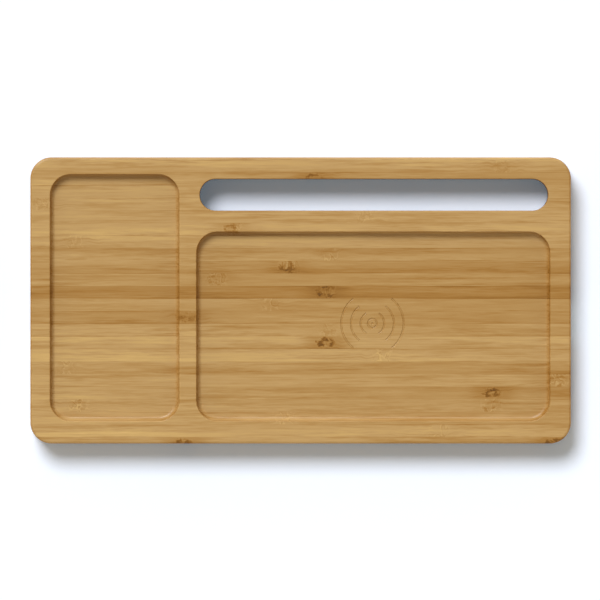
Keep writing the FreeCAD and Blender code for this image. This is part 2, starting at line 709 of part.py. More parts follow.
def make_pcb():
    body = new_body("charger_pcb")
    panel = new_sketch(body, "pcb_panel", "XY_Plane", "Places.pcb_left", "Places.pcb_front",
                       "Places.pcb_bottom")
    rounded_rectangle(panel, "Places.pcb_length", "Sizes.pcb_width", "Sizes.pcb_corner_radius")
    extrude(body, "Pad", panel, "Sizes.pcb_thickness")
    tab = new_sketch(body, "pcb_tab", "XY_Plane", "Places.pcb_right - Sizes.pcb_corner_radius",
                     "Places.coil_y - Sizes.pcb_tab_width / 2", "Places.pcb_bottom")
    rectangle(tab, "Places.pcb_tab_end - Places.pcb_right + Sizes.pcb_corner_radius", "Sizes.pcb_tab_width")
    extrude(body, "Pad", tab, "Sizes.pcb_thickness")
    holes = new_sketch(body, "pcb_holes", "XY_Plane", z="Places.pcb_top")
    for x, y in pcb_screw_places():
        circle(holes, x, y, "Sizes.pcb_screw_diameter + 2 * Sizes.screw_clearance")
    extrude(body, "Pocket", holes, "Sizes.pcb_thickness")
    return body


# Stamped shell of the power inlet, open at the mouth and filled at the back by the insulator
def make_usb_shell():
    body = new_body("usb_c_shell")
    section = new_sketch(body, "shell_section", "YZ_Plane", "Places.coil_y", "Places.usb_level",
                         "Places.usb_mouth")
    stadium(section, "Sizes.usb_width", "Sizes.usb_height")
    stadium(section, "Sizes.usb_width - 2 * Sizes.usb_wall", "Sizes.usb_height - 2 * Sizes.usb_wall")
    extrude(body, "Pad", section, "Sizes.usb_length", reverse=True)
    return body


def make_usb_insulator():
    body = new_body("usb_c_insulator")
    gap = "2 * (Sizes.usb_wall + Sizes.insulator_clearance)"
    back = new_sketch(body, "insulator_back", "YZ_Plane", "Places.coil_y", "Places.usb_level",
                      "Places.usb_mouth - Sizes.usb_length")
    stadium(back, f"Sizes.usb_width - {gap}", f"Sizes.usb_height - {gap}")
    extrude(body, "Pad", back, "Sizes.insulator_reach")
    tongue = new_sketch(body, "insulator_tongue", "YZ_Plane", "Places.coil_y - Sizes.tongue_width / 2",
                        "Places.usb_level - Sizes.tongue_thickness / 2",
                        "Places.usb_mouth - Sizes.usb_length + Sizes.insulator_reach")
    rectangle(tongue, "Sizes.tongue_width", "Sizes.tongue_thickness")
    extrude(body, "Pad", tongue, "Sizes.tongue_length")
    return body


# Two rows of contacts, above and below the tongue
def make_usb_contacts():
    x = "Places.usb_mouth - Sizes.usb_length + Sizes.insulator_reach + Sizes.contact_length / 2"
    members = []
    for number in range(contacts_per_row):
        y = f"Places.coil_y + {row_step(number, contacts_per_row)} * Sizes.contact_pitch"
        for row, z in (("upper", "Places.usb_level + Sizes.tongue_thickness / 2"),
                       ("lower", "Places.usb_level - Sizes.tongue_thickness / 2 - Sizes.contact_thickness")):
            members.append(standing_box(f"contact_{row}_{number}", "Sizes.contact_length",
                                        "Sizes.contact_width", "Sizes.contact_thickness", x, y, z))
    return group("usb_c_contacts", members)


# Components on the circuit board, in columns from its left edge, before and behind its middle line
def make_components():
    level = "Places.pcb_top"
    standing_box("controller_chip", "Sizes.controller_side", "Sizes.controller_side",
                 "Sizes.controller_height", "Places.controller_x", "Places.coil_y - Places.component_y",
                 level)
    bridges = []
    for number in range(transistor_count):
        y = f"Places.coil_y + {row_step(number, transistor_count)} * Sizes.transistor_pitch"
        bridges.append(standing_box(f"bridge_transistor_{number}", "Sizes.transistor_side",
                                    "Sizes.transistor_side", "Sizes.transistor_height",
                                    "Places.bridge_x", y, level))
    group("bridge_transistors", bridges)
    resonants = []
    for number in range(resonant_count):
        y = f"Places.coil_y + Places.component_y + {row_step(number, resonant_count)} * Sizes.resonant_pitch"
        resonants.append(standing_box(f"resonant_capacitor_{number}", "Sizes.resonant_length",
                                      "Sizes.resonant_width", "Sizes.resonant_height",
                                      "Places.controller_x", y, level))
    group("resonant_capacitors", resonants)
    filters = []
    for number in range(filter_count):
        y = f"Places.coil_y + Places.filter_y + {row_step(number, filter_count)} * Sizes.filter_pitch"
        filters.append(standing_box(f"input_capacitor_{number}", "Sizes.filter_length", "Sizes.filter_width",
                                    "Sizes.filter_height", "Places.inductor_x", y, level))
    group("input_capacitors", filters)
    standing_box("status_led", "Sizes.led_length", "Sizes.led_width", "Sizes.led_height",
                 "Places.pcb_tab_end - Sizes.led_gap - Sizes.led_length / 2", "Places.pipe_y", level)


def make_inductor():
    body = new_body("power_inductor")
    section = new_sketch(body, "inductor_section", "XY_Plane",
                         "Places.inductor_x - Sizes.inductor_side / 2",
                         "Places.coil_y - Places.inductor_y - Sizes.inductor_side / 2", "Places.pcb_top")
    rounded_rectangle(section, "Sizes.inductor_side", "Sizes.inductor_side", "Sizes.inductor_corner_radius")
    extrude(body, "Pad", section, "Sizes.inductor_height")
    return body


def make_light_pipe():
    body = new_body("light_pipe")
    section = new_sketch(body, "pipe_section", "YZ_Plane", "Places.pipe_y", "Places.pipe_level",
                         "Places.block_outer")
    circle(section, "0", "0", "Sizes.pipe_diameter")
    extrude(body, "Pad", section, "Sizes.block_thickness", reverse=True)
    return body


def make_ferrite():
    body = new_body("ferrite_plate")
    panel = new_sketch(body, "ferrite_panel", "XY_Plane", "Places.coil_x - Sizes.ferrite_side / 2",
                       "Places.coil_y - Sizes.ferrite_side / 2", "Places.ferrite_bottom")
    rounded_rectangle(panel, "Sizes.ferrite_side", "Sizes.ferrite_side", "Sizes.ferrite_corner_radius")
    extrude(body, "Pad", panel, "Sizes.ferrite_thickness")
    window = new_sketch(body, "lead_window", "XY_Plane", z="Places.ferrite_bottom + Sizes.ferrite_thickness")
    circle(window, "Places.coil_x + Sizes.coil_inner_radius",
           "Places.coil_y - (Places.winding_level - Places.lead_level) / 2", "Sizes.lead_window")
    extrude(body, "Pocket", window, "Sizes.ferrite_thickness")
    return body


# Adhesive ring as wide as the winding
def make_tape():
    body = new_body("coil_tape")
    ring = new_sketch(body, "tape_ring", "XY_Plane", z="Places.tape_bottom")
    inner = "2 * Sizes.coil_inner_radius"
    circle(ring, "Places.coil_x", "Places.coil_y", inner)
    circle(ring, "Places.coil_x", "Places.coil_y", f"{inner} + {quarter_turns} * Sizes.coil_pitch / 2")
    extrude(body, "Pad", ring, "Sizes.tape_thickness")
    return body


# Round wire along a path, from the path's first point and first direction
def wire_solid(path, start, direction):
    section = Part.Wire(Part.Edge(Part.Circle(start, direction, size("wire_diameter") / 2)))
    shell = Part.BRepOffsetAPI.MakePipeShell(path)
    shell.add(section)
    shell.build()
    shell.makeSolid()
    return shell.shape()


# Quarter turn to the left of the heading, seen from above; gives the arc, its end and the new heading
def quarter_turn(start, heading, radius):
    inward = up.cross(heading)
    centre = start + inward * radius
    middle = centre + (heading - inward) * (radius / math.sqrt(2))
    end = centre + heading * radius
    return Part.Arc(start, middle, end), end, inward


# Flat spiral of quarter turns, each one wider than the last by a quarter of the pitch
def winding_arcs():
    start_x = place("coil_x") + size("coil_inner_radius")
    spot = FreeCAD.Vector(start_x, place("coil_y"), place("winding_level"))
    heading = FreeCAD.Vector(0, 1, 0)
    arcs = []
    for turn in range(quarter_turns):
        radius = size("coil_inner_radius") + turn * size("coil_pitch") / 4
        arc, spot, heading = quarter_turn(spot, heading, radius)
        arcs.append(arc)
    return arcs, spot, heading


def make_winding():
    arcs, end, heading = winding_arcs()
    path = Part.Wire([arc.toShape() for arc in arcs])
    start = arcs[0].StartPoint
    winding = solid_feature("coil_winding", wire_solid(path, start, FreeCAD.Vector(0, 1, 0)))

    # Least gap between neighbouring turns, measured on points along the wire
    points = [arc.toShape().discretize(Number=12) for arc in arcs]
    least = min(first.distanceToPoint(second)
                for turn in range(quarter_turns - 4)
                for first in points[turn]
                for near in (turn + 3, turn + 4, turn + 5) if near < quarter_turns
                for second in points[near]) - size("wire_diameter")
    print("winding gap", round(least, 3))
    return winding, start, end


# Lead from the inner end: down through the ferrite's window and straight to the circuit board
def make_inner_lead(start):
    bend = (place("winding_level") - place("lead_level")) / 2
    half = math.sqrt(0.5)
    back = FreeCAD.Vector(0, -bend, 0)
    down = FreeCAD.Vector(0, 0, -bend)
    out = FreeCAD.Vector(bend, 0, 0)
    below = start + back + down
    first = Part.Arc(start, start + down + back * half - down * half, below)
    turned = below + down + out
    second = Part.Arc(below, below + out + down * half - out * half, turned)
    landing = FreeCAD.Vector(place("pcb_left") + size("lead_landing"), turned.y, turned.z)
    path = Part.Wire([first.toShape(), second.toShape(), Part.LineSegment(turned, landing).toShape()])
    return solid_feature("coil_lead_inner", wire_solid(path, start, FreeCAD.Vector(0, -1, 0)))


# Lead from the outer end: straight past the ferrite, then down and inwards to the circuit board
def make_outer_lead(end):
    landing_y = place("coil_y") - size("lead_spread")
    landing = FreeCAD.Vector(place("pcb_left") + size("lead_landing"), landing_y, place("lead_level"))
    ferrite_edge = place("coil_x") + size("ferrite_side") / 2
    leave = FreeCAD.Vector(ferrite_edge + size("wire_diameter"), end.y, end.z)
    arrive = landing - FreeCAD.Vector(size("wire_diameter"), 0, 0)

    # Two equal arcs that leave and arrive along +X, with their joint half way
    middle = (leave + arrive) * 0.5
    span = arrive.x - leave.x
    across = FreeCAD.Vector(0, arrive.y - leave.y, arrive.z - leave.z)
    shift = across.Length
    radius = (span * span + shift * shift) / (4 * shift)
    half_angle = math.atan2(shift, span)
    travel = FreeCAD.Vector(radius * math.sin(half_angle), 0, 0)
    bulge = across * (radius * (1 - math.cos(half_angle)) / shift)
    first = Part.Arc(leave, leave + travel + bulge, middle)
    second = Part.Arc(middle, arrive - travel - bulge, arrive)
    pieces = [Part.LineSegment(end, leave), first, second, Part.LineSegment(arrive, landing)]
    edges = [piece.toShape() for piece in pieces]
    return solid_feature("coil_lead_outer", wire_solid(Part.Wire(edges), end, FreeCAD.Vector(1, 0, 0)))


make_board()
make_cover()
group("cover_screws", [make_cover_screw(number, x, y) for number, (x, y) in enumerate(cover_screw_places())])
for foot, (foot_x, foot_y) in foot_places().items():
    make_foot(foot, foot_x, foot_y)
make_pcb()
group("pcb_screws", [make_pcb_screw(number, x, y) for number, (x, y) in enumerate(pcb_screw_places())])
make_usb_shell()
make_usb_insulator()
make_usb_contacts()
make_components()
make_inductor()
make_light_pipe()
make_ferrite()
make_tape()
winding, winding_start, winding_end = make_winding()
make_inner_lead(winding_start)
make_outer_lead(winding_end)
doc.recompute()

nodes = [
    "bamboo_board", "base_cover", "cover_screws", "foot_front_left", "foot_front_right", "foot_rear_left",
    "foot_rear_right", "charger_pcb", "pcb_screws", "usb_c_shell", "usb_c_insulator", "usb_c_contacts",
    "controller_chip", "bridge_transistors", "resonant_capacitors", "input_capacitors", "power_inductor",
    "status_led", "light_pipe", "ferrite_plate", "coil_tape", "coil_winding", "coil_lead_inner",
    "coil_lead_outer",
]
for item in doc.Objects:
    if "Invalid" in item.State or "Error" in item.State:
        raise RuntimeError(f"{item.Name} did not compute: {item.State}")
os.makedirs("parts", exist_ok=True)
for node in nodes:
    shape = doc.getObjectsByLabel(node)[0].Shape
    if shape.isNull() or not shape.isValid():
        raise RuntimeError(f"{node} has no valid shape")
    shape.exportStep(f"parts/{node}.step")
    print(node, len(shape.Solids), round(shape.Volume, 1))
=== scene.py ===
import bpy
import math
import numpy as np
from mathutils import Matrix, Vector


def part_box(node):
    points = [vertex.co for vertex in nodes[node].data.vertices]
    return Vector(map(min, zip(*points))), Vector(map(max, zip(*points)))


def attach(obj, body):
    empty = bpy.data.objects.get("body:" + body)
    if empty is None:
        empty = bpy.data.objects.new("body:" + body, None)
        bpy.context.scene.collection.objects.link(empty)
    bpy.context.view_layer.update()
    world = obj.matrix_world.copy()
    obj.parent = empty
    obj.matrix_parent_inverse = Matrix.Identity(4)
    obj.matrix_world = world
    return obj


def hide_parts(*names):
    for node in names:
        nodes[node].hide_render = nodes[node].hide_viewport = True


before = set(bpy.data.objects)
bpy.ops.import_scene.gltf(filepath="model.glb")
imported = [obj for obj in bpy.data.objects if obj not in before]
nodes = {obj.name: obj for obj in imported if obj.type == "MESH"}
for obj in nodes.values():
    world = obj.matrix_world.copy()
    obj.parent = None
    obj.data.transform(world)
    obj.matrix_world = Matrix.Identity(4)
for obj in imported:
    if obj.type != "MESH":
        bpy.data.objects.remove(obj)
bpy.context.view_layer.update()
mm = 0.001
noiseMiddle = 0.5                   # a noise texture wavers about this
noiseLow, noiseHigh = 0.3, 0.7      # and keeps mostly between these
print("frame loaded:", len(nodes), "nodes")


# sRGB hex to linear RGBA
def fromHex(code):
    srgb = np.array([int(code[i:i + 2], 16) for i in (0, 2, 4)]) / 255
    linear = np.where(srgb <= 0.04045, srgb / 12.92, ((srgb + 0.055) / 1.055) ** 2.4)
    return (*linear.tolist(), 1.0)


# One node: settings go on the node, stops on its ramp, and each input is linked or set
def addNode(tree, kind, inputs=None, stops=None, **settings):
    node = tree.nodes.new("ShaderNode" + kind)
    for name, setting in settings.items():
        setattr(node, name, setting)
    if stops:
        ramp = node.color_ramp.elements
        for _ in stops[2:]:
            ramp.new(1.0)
        for element, (position, colour) in zip(ramp, stops):
            element.position = position
            element.color = colour
    for socket, source in (inputs or {}).items():
        if isinstance(source, bpy.types.NodeSocket):
            tree.links.new(source, node.inputs[socket])
        else:
            node.inputs[socket].default_value = source
    return node.outputs


def newMaterial(name):
    material = bpy.data.materials.new(name)
    material.use_nodes = True
    tree = material.node_tree
    tree.nodes.clear()
    return material, tree


# Object coordinates, in mm
def millimetres(tree):
    coords = addNode(tree, "TexCoord")["Object"]
    return addNode(tree, "VectorMath", {0: coords, 1: (mm, mm, mm)}, operation="DIVIDE")[0]


def dress(material, *names):
    for name in names:
        nodes[name].material_slots[0].material = material


# Board of side-pressed bamboo strips, glued edge to edge, routed, sanded and oiled. Sizes in mm; a tone is a
# weight in the brightness, and a pair of reaches or levels says where a feature is full and where it is gone
bamboo = {
    "stripPitch": 6.29,                 # across one strip
    "rearGlueLine": 70.18,              # glue line nearest the rear edge
    "boardLength": 270.0,
    # oiled bamboo from the burnt brown of a knuckle to the straw of young fibre, each with its tone
    "colours": [(-1.3, "4E2F08"), (-0.45, "845613"), (0.07, "A07334"), (0.53, "B18A50"), (0.72, "BA955D"),
                (0.9, "C49F61"), (1.1, "CEA968"), (1.3, "D8B678")],
    "caneShift": 37.7,                  # along, from the fibres of one strip to those of the next
    "ripple": (6.0, 9.0, 9.0),          # size of the waves in the fibres
    "sway": (0.2, 3.0),                 # height of the waves in plain cane and at a knuckle
    # length and thickness of the streaks, and their weight in the tone; the finest is twice a real fibre
    "streaks": [(72.0, 2.8, 0.8), (22.0, 1.3, 0.6), (8.0, 0.6, 0.37), (4.0, 0.35, 0.2)],
    "vigourPatch": (75.0, 7.0, 20.0),   # size of the places where streaks are calm or strong
    "vigour": (0.5, 1.5),               # strength of the streaks there
    "strongTone": -0.25,                # dark streaks stand out more than pale ones
    "bundleSize": (60.0, 0.95, 0.95),   # length of a bundle of vessels, and from bundle to bundle
    "bundleReach": (0.12, 0.42),        # shares of that size
    "bundleTone": -0.13,
    "haloReach": (2.0, 26.0),           # browning of the cane along from its knuckle
    "haloPower": 3.0,                   # makes it fade sooner
    "haloTone": -0.45,
    "eye": (4.2, 2.6),                  # half length and half width of the eye in a knuckle
    "eyeNoise": 1.3,                    # waves of the noise in that length or width
    "eyeStray": (2.4, 1.8, 0.0),        # how far the noise moves its outline, in eyes
    "eyeBreaks": (0.6, 0.4),            # levels of the noise that keep and break its ring
    "ringRadius": 0.65,                 # share of the eye
    "ringReach": (0.1, 0.55),
    "ringTone": -1.15,
    "squiggleSize": (3.2, 4.5, 4.5),
    "squiggleReach": (1.5, 7.0),        # along from the knuckle
    # level in the noise and tone of the squiggles: a pale line, and a dark one beside it
    "squiggles": [(0.5, 0.45), (0.43, -0.4)],
    "squiggleLevels": (0.01, 0.045),    # to either side of that level
    "glueReach": (0.5, 0.44),           # shares of the strip, from its middle
    "gluePatch": (45.0, 6.0, 30.0),     # size of the places where the glue shows
    "glueLevels": (0.7, 0.48),
    "glueTone": -0.7,
    "endFacing": (0.6, 0.05),           # how far a face turns to the end of the board
    "endTone": -0.3,
    "endDotTone": -0.2,
    # The slot's wall is painted darker. This is painted shade, which also dims the warm light it bounces onto
    # the floor
    "slotCentre": (36.6, 52.8),
    "slotStraight": 79.1,               # half of the straight part
    "slotRadius": 7.9,
    "slotShadeDepth": 0.2,                  # how deep into the wall the painted shade reaches
    "slotShadeTone": -0.75,
    "relief": 0.06,
    "reliefStrength": 0.25,
    "finestRelief": 0.5,                # weight of the finest streaks beside the next ones
    "roughStreak": 0.3,                 # streaks of this strength have the roughness below
    "rough": (0.35, 0.47),              # on dark fibres and on pale ones
    "shader": {"IOR": 1.45, "Specular IOR Level": 0.1, "Coat Weight": 0.3, "Coat Roughness": 0.25},
    # strips, by number from 0, with a second knuckle to the right of the first, and its place
    "secondKnuckles": {20: 95.0, 23: 127.0},
    # strips from the rear: tone in the middle, drift of the tone to the right (partly the strip's own tone
    # and partly painted shade, the falloff of the light from the left, so no strip gets lighter to the
    # right), lean from rear to front, then the knuckle's place from the middle of the board, how brown it is
    # and how strong its squiggles are
    "strips": [
        (0.70, 0.00, 0.00, 60, 0.0, 0.0),
        (0.72, -0.10, -0.25, 101, 0.2, 0.3),
        (0.55, -0.20, 0.15, 7, 0.7, 0.2),
        (0.68, -0.10, -0.05, -20, 0.3, 0.2),
        (0.64, -0.15, 0.05, -129, 0.2, 0.3),
        (0.68, -0.05, 0.05, 32, 0.0, 0.3),
        (0.76, 0.00, 0.10, -34, 0.5, 0.5),
        (0.70, -0.05, -0.15, -113, 0.1, 0.4),
        (0.54, -0.05, 0.30, 15, 0.1, 0.5),
        (0.38, -0.35, -0.30, -6, 0.55, 0.7),
        (0.50, -0.20, 0.10, -42, 0.3, 0.6),
        (0.15, -0.10, -0.05, 13, 0.7, 0.6),
        (0.54, -0.15, -0.15, -15, 0.1, 0.5),
        (0.42, -0.05, 0.00, -56, 0.4, 0.2),
        (0.62, -0.20, -0.05, 14, 0.2, 0.3),
        (0.72, 0.00, -0.15, 13, 1.0, 0.3),
        (0.78, -0.20, 0.20, 41, 0.0, 0.5),
        (0.54, -0.20, -0.20, -117, 0.1, 0.4),
        (0.64, -0.05, 0.10, 129, 0.3, 0.5),
        (0.55, -0.40, 0.10, 96, 0.8, 0.3),
        (0.63, -0.15, 0.10, -111, 0.2, 0.6),
        (0.60, -0.30, 0.15, -8, 0.0, 0.4),
        (0.73, -0.10, 0.20, 69, 0.0, 0.5),
        (0.55, -0.10, -0.40, -58, 0.8, 0.2),
    ],
}


# The strip's own values. Each row of the table is one flat step of two colour ramps, whose channels hold 0 to
# 1, so values that may be negative are kept half up. A strip with one knuckle has its second past the board's
# end, so that place is kept as a share of twice the length
def stripRow(tree, look, strip):
    count = len(look["strips"])
    length = look["boardLength"]
    key = addNode(tree, "Math", {0: strip, 1: 1 / count, 2: 0.5 / count}, operation="MULTIPLY_ADD")[0]
    tones = [(tone, driftAndFalloff + 0.5, lean + 0.5, 1.0) for tone, driftAndFalloff, lean, *_ in look["strips"]]
    seconds = [look["secondKnuckles"].get(i, length) for i in range(count)]
    knuckles = [(spot / length + 0.5, brown, cream, second / (2 * length) + 0.5)
                for (*_, spot, brown, cream), second in zip(look["strips"], seconds)]
    ramps = []
    for colours in (tones, knuckles):
        stops = [(i / count, colour) for i, colour in enumerate(colours)]
        ramp = addNode(tree, "ValToRGB", {0: key}, stops=stops)
        ramp[0].node.color_ramp.interpolation = "CONSTANT"
        ramps.append(ramp)
    toneRow, knuckleRow = ramps
    tone, driftAndFalloff, lean = addNode(tree, "SeparateColor", {0: toneRow["Color"]})
    driftAndFalloff = addNode(tree, "Math", {0: driftAndFalloff, 1: 0.5}, operation="SUBTRACT")[0]
    lean = addNode(tree, "Math", {0: lean, 1: 0.5}, operation="SUBTRACT")[0]
    spot, brown, cream = addNode(tree, "SeparateColor", {0: knuckleRow["Color"]})
    spot = addNode(tree, "Math", {0: spot, 1: length, 2: -0.5 * length}, operation="MULTIPLY_ADD")[0]
    second = addNode(tree, "Math", {0: knuckleRow["Alpha"], 1: 2 * length, 2: -length},
                     operation="MULTIPLY_ADD")[0]
    return tone, driftAndFalloff, lean, spot, second, brown, cream


# Each strip is cut from another cane, so its fibres start elsewhere; they wave where they pass a knuckle
def caneFibres(tree, look, place, strip, halo):
    shift = addNode(tree, "Math", {0: strip, 1: look["caneShift"]}, operation="MULTIPLY")[0]
    shift = addNode(tree, "CombineXYZ", {"X": shift})[0]
    cane = addNode(tree, "VectorMath", {0: place, 1: shift}, operation="ADD")[0]
    ripple = addNode(tree, "VectorMath", {0: cane, 1: look["ripple"]}, operation="DIVIDE")[0]
    ripple = addNode(tree, "TexNoise", {"Vector": ripple, "Scale": 1.0, "Detail": 1.0})["Fac"]
    ripple = addNode(tree, "Math", {0: ripple, 1: noiseMiddle}, operation="SUBTRACT")[0]
    plain, knuckle = look["sway"]
    sway = addNode(tree, "MapRange", {"Value": halo, "To Min": plain, "To Max": knuckle})[0]
    wave = addNode(tree, "Math", {0: ripple, 1: sway}, operation="MULTIPLY")[0]
    bend = addNode(tree, "CombineXYZ", {"Y": wave})[0]
    return addNode(tree, "VectorMath", {0: cane, 1: bend}, operation="ADD")[0]


# What the layers read at each point: its place on the board, its share across the strip from the middle, its
# way along from the knuckle, the strip's plain tone, the strengths of its knuckle, and the place in the cane
def stripPlace(tree, look):
    place = millimetres(tree)
    x, y, _ = addNode(tree, "SeparateXYZ", {0: place})
    firstEdge = look["rearGlueLine"] + look["stripPitch"]
    across = addNode(tree, "Math", {0: firstEdge, 1: y}, operation="SUBTRACT")[0]
    across = addNode(tree, "Math", {0: across, 1: look["stripPitch"]}, operation="DIVIDE")[0]
    strip = addNode(tree, "Math", {0: across}, operation="FLOOR")[0]
    share = addNode(tree, "Math", {0: across}, operation="FRACT")[0]
    share = addNode(tree, "Math", {0: share, 1: 0.5}, operation="SUBTRACT")[0]
    tone, driftAndFalloff, lean, spot, second, brown, cream = stripRow(tree, look, strip)
    # The drift darkens each strip towards the right: partly its own tone, partly painted falloff of the light
    along = addNode(tree, "Math", {0: x, 1: look["boardLength"]}, operation="DIVIDE")[0]
    tone = addNode(tree, "Math", {0: along, 1: driftAndFalloff, 2: tone}, operation="MULTIPLY_ADD")[0]
    tone = addNode(tree, "Math", {0: share, 1: lean, 2: tone}, operation="MULTIPLY_ADD")[0]
    # The nearer knuckle: from halfway on it is the second one
    halfway = addNode(tree, "Mix", {"Factor": 0.5, "A": spot, "B": second})[0]
    beyond = addNode(tree, "Math", {0: x, 1: halfway}, operation="GREATER_THAN")[0]
    spot = addNode(tree, "Mix", {"Factor": beyond, "A": spot, "B": second})[0]
    fromSpot = addNode(tree, "Math", {0: x, 1: spot}, operation="SUBTRACT")[0]
    reach = addNode(tree, "Math", {0: fromSpot}, operation="ABSOLUTE")[0]
    full, gone = look["haloReach"]
    halo = addNode(tree, "MapRange", {"Value": reach, "From Min": gone, "From Max": full},
                   interpolation_type="SMOOTHERSTEP")[0]
    cane = caneFibres(tree, look, place, strip, halo)
    return {"x": x, "y": y, "share": share, "tone": tone, "fromSpot": fromSpot, "reach": reach, "halo": halo,
            "brown": brown, "cream": cream, "cane": cane}


# Fine streaks along the strip, one socket for each size, strong in some places and calm in others
def fibreStreaks(tree, look, cane):
    patch = addNode(tree, "VectorMath", {0: cane, 1: look["vigourPatch"]}, operation="DIVIDE")[0]
    patch = addNode(tree, "TexNoise", {"Vector": patch, "Scale": 1.0, "Detail": 1.0})["Fac"]
    calm, strong = look["vigour"]
    vigour = addNode(tree, "MapRange", {"Value": patch, "From Min": noiseLow, "From Max": noiseHigh,
                                        "To Min": calm, "To Max": strong})[0]
    streaks = []
    for length, thickness, _ in look["streaks"]:
        size = (length, thickness, thickness)
        grain = addNode(tree, "VectorMath", {0: cane, 1: size}, operation="DIVIDE")[0]
        grain = addNode(tree, "TexNoise", {"Vector": grain, "Scale": 1.0, "Detail": 1.5})["Fac"]
        grain = addNode(tree, "Math", {0: grain, 1: noiseMiddle}, operation="SUBTRACT")[0]
        streaks.append(addNode(tree, "Math", {0: grain, 1: vigour}, operation="MULTIPLY")[0])
    return streaks


# Bundles of vessels: dark lines along the strip, and dots on the end grain
def vesselBundles(tree, look, cane):
    bundles = addNode(tree, "VectorMath", {0: cane, 1: look["bundleSize"]}, operation="DIVIDE")[0]
    bundles = addNode(tree, "TexVoronoi", {"Vector": bundles, "Scale": 1.0, "Randomness": 0.9})["Distance"]
    full, gone = look["bundleReach"]
    return addNode(tree, "MapRange", {"Value": bundles, "From Min": gone, "From Max": full},
                   interpolation_type="SMOOTHSTEP")[0]


# Broken brown ring round the eye of a knuckle, an oval that the noise pulls out of shape
def eyeRing(tree, look, at):
    eyeLength, eyeWidth = look["eye"]
    size = (eyeLength, eyeWidth, eyeWidth)
    jitter = addNode(tree, "VectorMath", {0: at["cane"], 1: size}, operation="DIVIDE")[0]
    jitter = addNode(tree, "TexNoise", {"Vector": jitter, "Scale": look["eyeNoise"], "Detail": 2.5,
                                        "Roughness": 0.6})
    full, gone = look["eyeBreaks"]
    breaks = addNode(tree, "MapRange", {"Value": jitter["Fac"], "From Min": gone, "From Max": full},
                     interpolation_type="SMOOTHSTEP")[0]
    stray = addNode(tree, "VectorMath", {0: jitter["Color"], 1: (noiseMiddle, noiseMiddle, noiseMiddle)},
                    operation="SUBTRACT")[0]
    eyeX = addNode(tree, "Math", {0: at["fromSpot"], 1: eyeLength}, operation="DIVIDE")[0]
    eyeY = addNode(tree, "Math", {0: at["share"], 1: look["stripPitch"] / eyeWidth}, operation="MULTIPLY")[0]
    eye = addNode(tree, "CombineXYZ", {"X": eyeX, "Y": eyeY})[0]
    eye = addNode(tree, "VectorMath", {0: stray, 1: look["eyeStray"], 2: eye}, operation="MULTIPLY_ADD")[0]
    eye = addNode(tree, "VectorMath", {0: eye}, operation="LENGTH")["Value"]
    ring = addNode(tree, "Math", {0: eye, 1: look["ringRadius"]}, operation="SUBTRACT")[0]
    ring = addNode(tree, "Math", {0: ring}, operation="ABSOLUTE")[0]
    full, gone = look["ringReach"]
    ring = addNode(tree, "MapRange", {"Value": ring, "From Min": gone, "From Max": full},
                   interpolation_type="SMOOTHSTEP")[0]
    ring = addNode(tree, "Math", {0: ring, 1: breaks}, operation="MULTIPLY")[0]
    return addNode(tree, "Math", {0: ring, 1: at["brown"]}, operation="MULTIPLY")[0]


# Thin pale and dark lines that wriggle across a knuckle, each with its tone
def knuckleSquiggles(tree, look, at):
    squiggle = addNode(tree, "VectorMath", {0: at["cane"], 1: look["squiggleSize"]}, operation="DIVIDE")[0]
    squiggle = addNode(tree, "TexNoise", {"Vector": squiggle, "Scale": 1.0, "Detail": 1.5,
                                          "Distortion": 0.4})["Fac"]
    full, gone = look["squiggleReach"]
    core = addNode(tree, "MapRange", {"Value": at["reach"], "From Min": gone, "From Max": full},
                   interpolation_type="SMOOTHSTEP")[0]
    mask = addNode(tree, "Math", {0: core, 1: at["cream"]}, operation="MULTIPLY")[0]
    full, gone = look["squiggleLevels"]
    layers = []
    for level, tone in look["squiggles"]:
        line = addNode(tree, "Math", {0: squiggle, 1: level}, operation="SUBTRACT")[0]
        line = addNode(tree, "Math", {0: line}, operation="ABSOLUTE")[0]
        line = addNode(tree, "MapRange", {"Value": line, "From Min": gone, "From Max": full},
                       interpolation_type="SMOOTHSTEP")[0]
        layers.append((addNode(tree, "Math", {0: line, 1: mask}, operation="MULTIPLY")[0], tone))
    return layers


# Glue line, dark only here and there along its length
def glueLine(tree, look, at):
    edge = addNode(tree, "Math", {0: at["share"]}, operation="ABSOLUTE")[0]
    full, gone = look["glueReach"]
    edge = addNode(tree, "MapRange", {"Value": edge, "From Min": gone, "From Max": full},
                   interpolation_type="SMOOTHSTEP")[0]
    patch = addNode(tree, "VectorMath", {0: at["cane"], 1: look["gluePatch"]}, operation="DIVIDE")[0]
    patch = addNode(tree, "TexNoise", {"Vector": patch, "Scale": 1.0, "Detail": 2.0})["Fac"]
    full, gone = look["glueLevels"]
    patch = addNode(tree, "MapRange", {"Value": patch, "From Min": gone, "From Max": full})[0]
    return addNode(tree, "Math", {0: edge, 1: patch}, operation="MULTIPLY")[0]


# 1 on the faces that cut across the fibres
def endGrain(tree, look):
    normal = addNode(tree, "NewGeometry")["Normal"]
    facing = addNode(tree, "SeparateXYZ", {0: normal})["X"]
    facing = addNode(tree, "Math", {0: facing}, operation="ABSOLUTE")[0]
    full, gone = look["endFacing"]
    return addNode(tree, "MapRange", {"Value": facing, "From Min": gone, "From Max": full})[0]


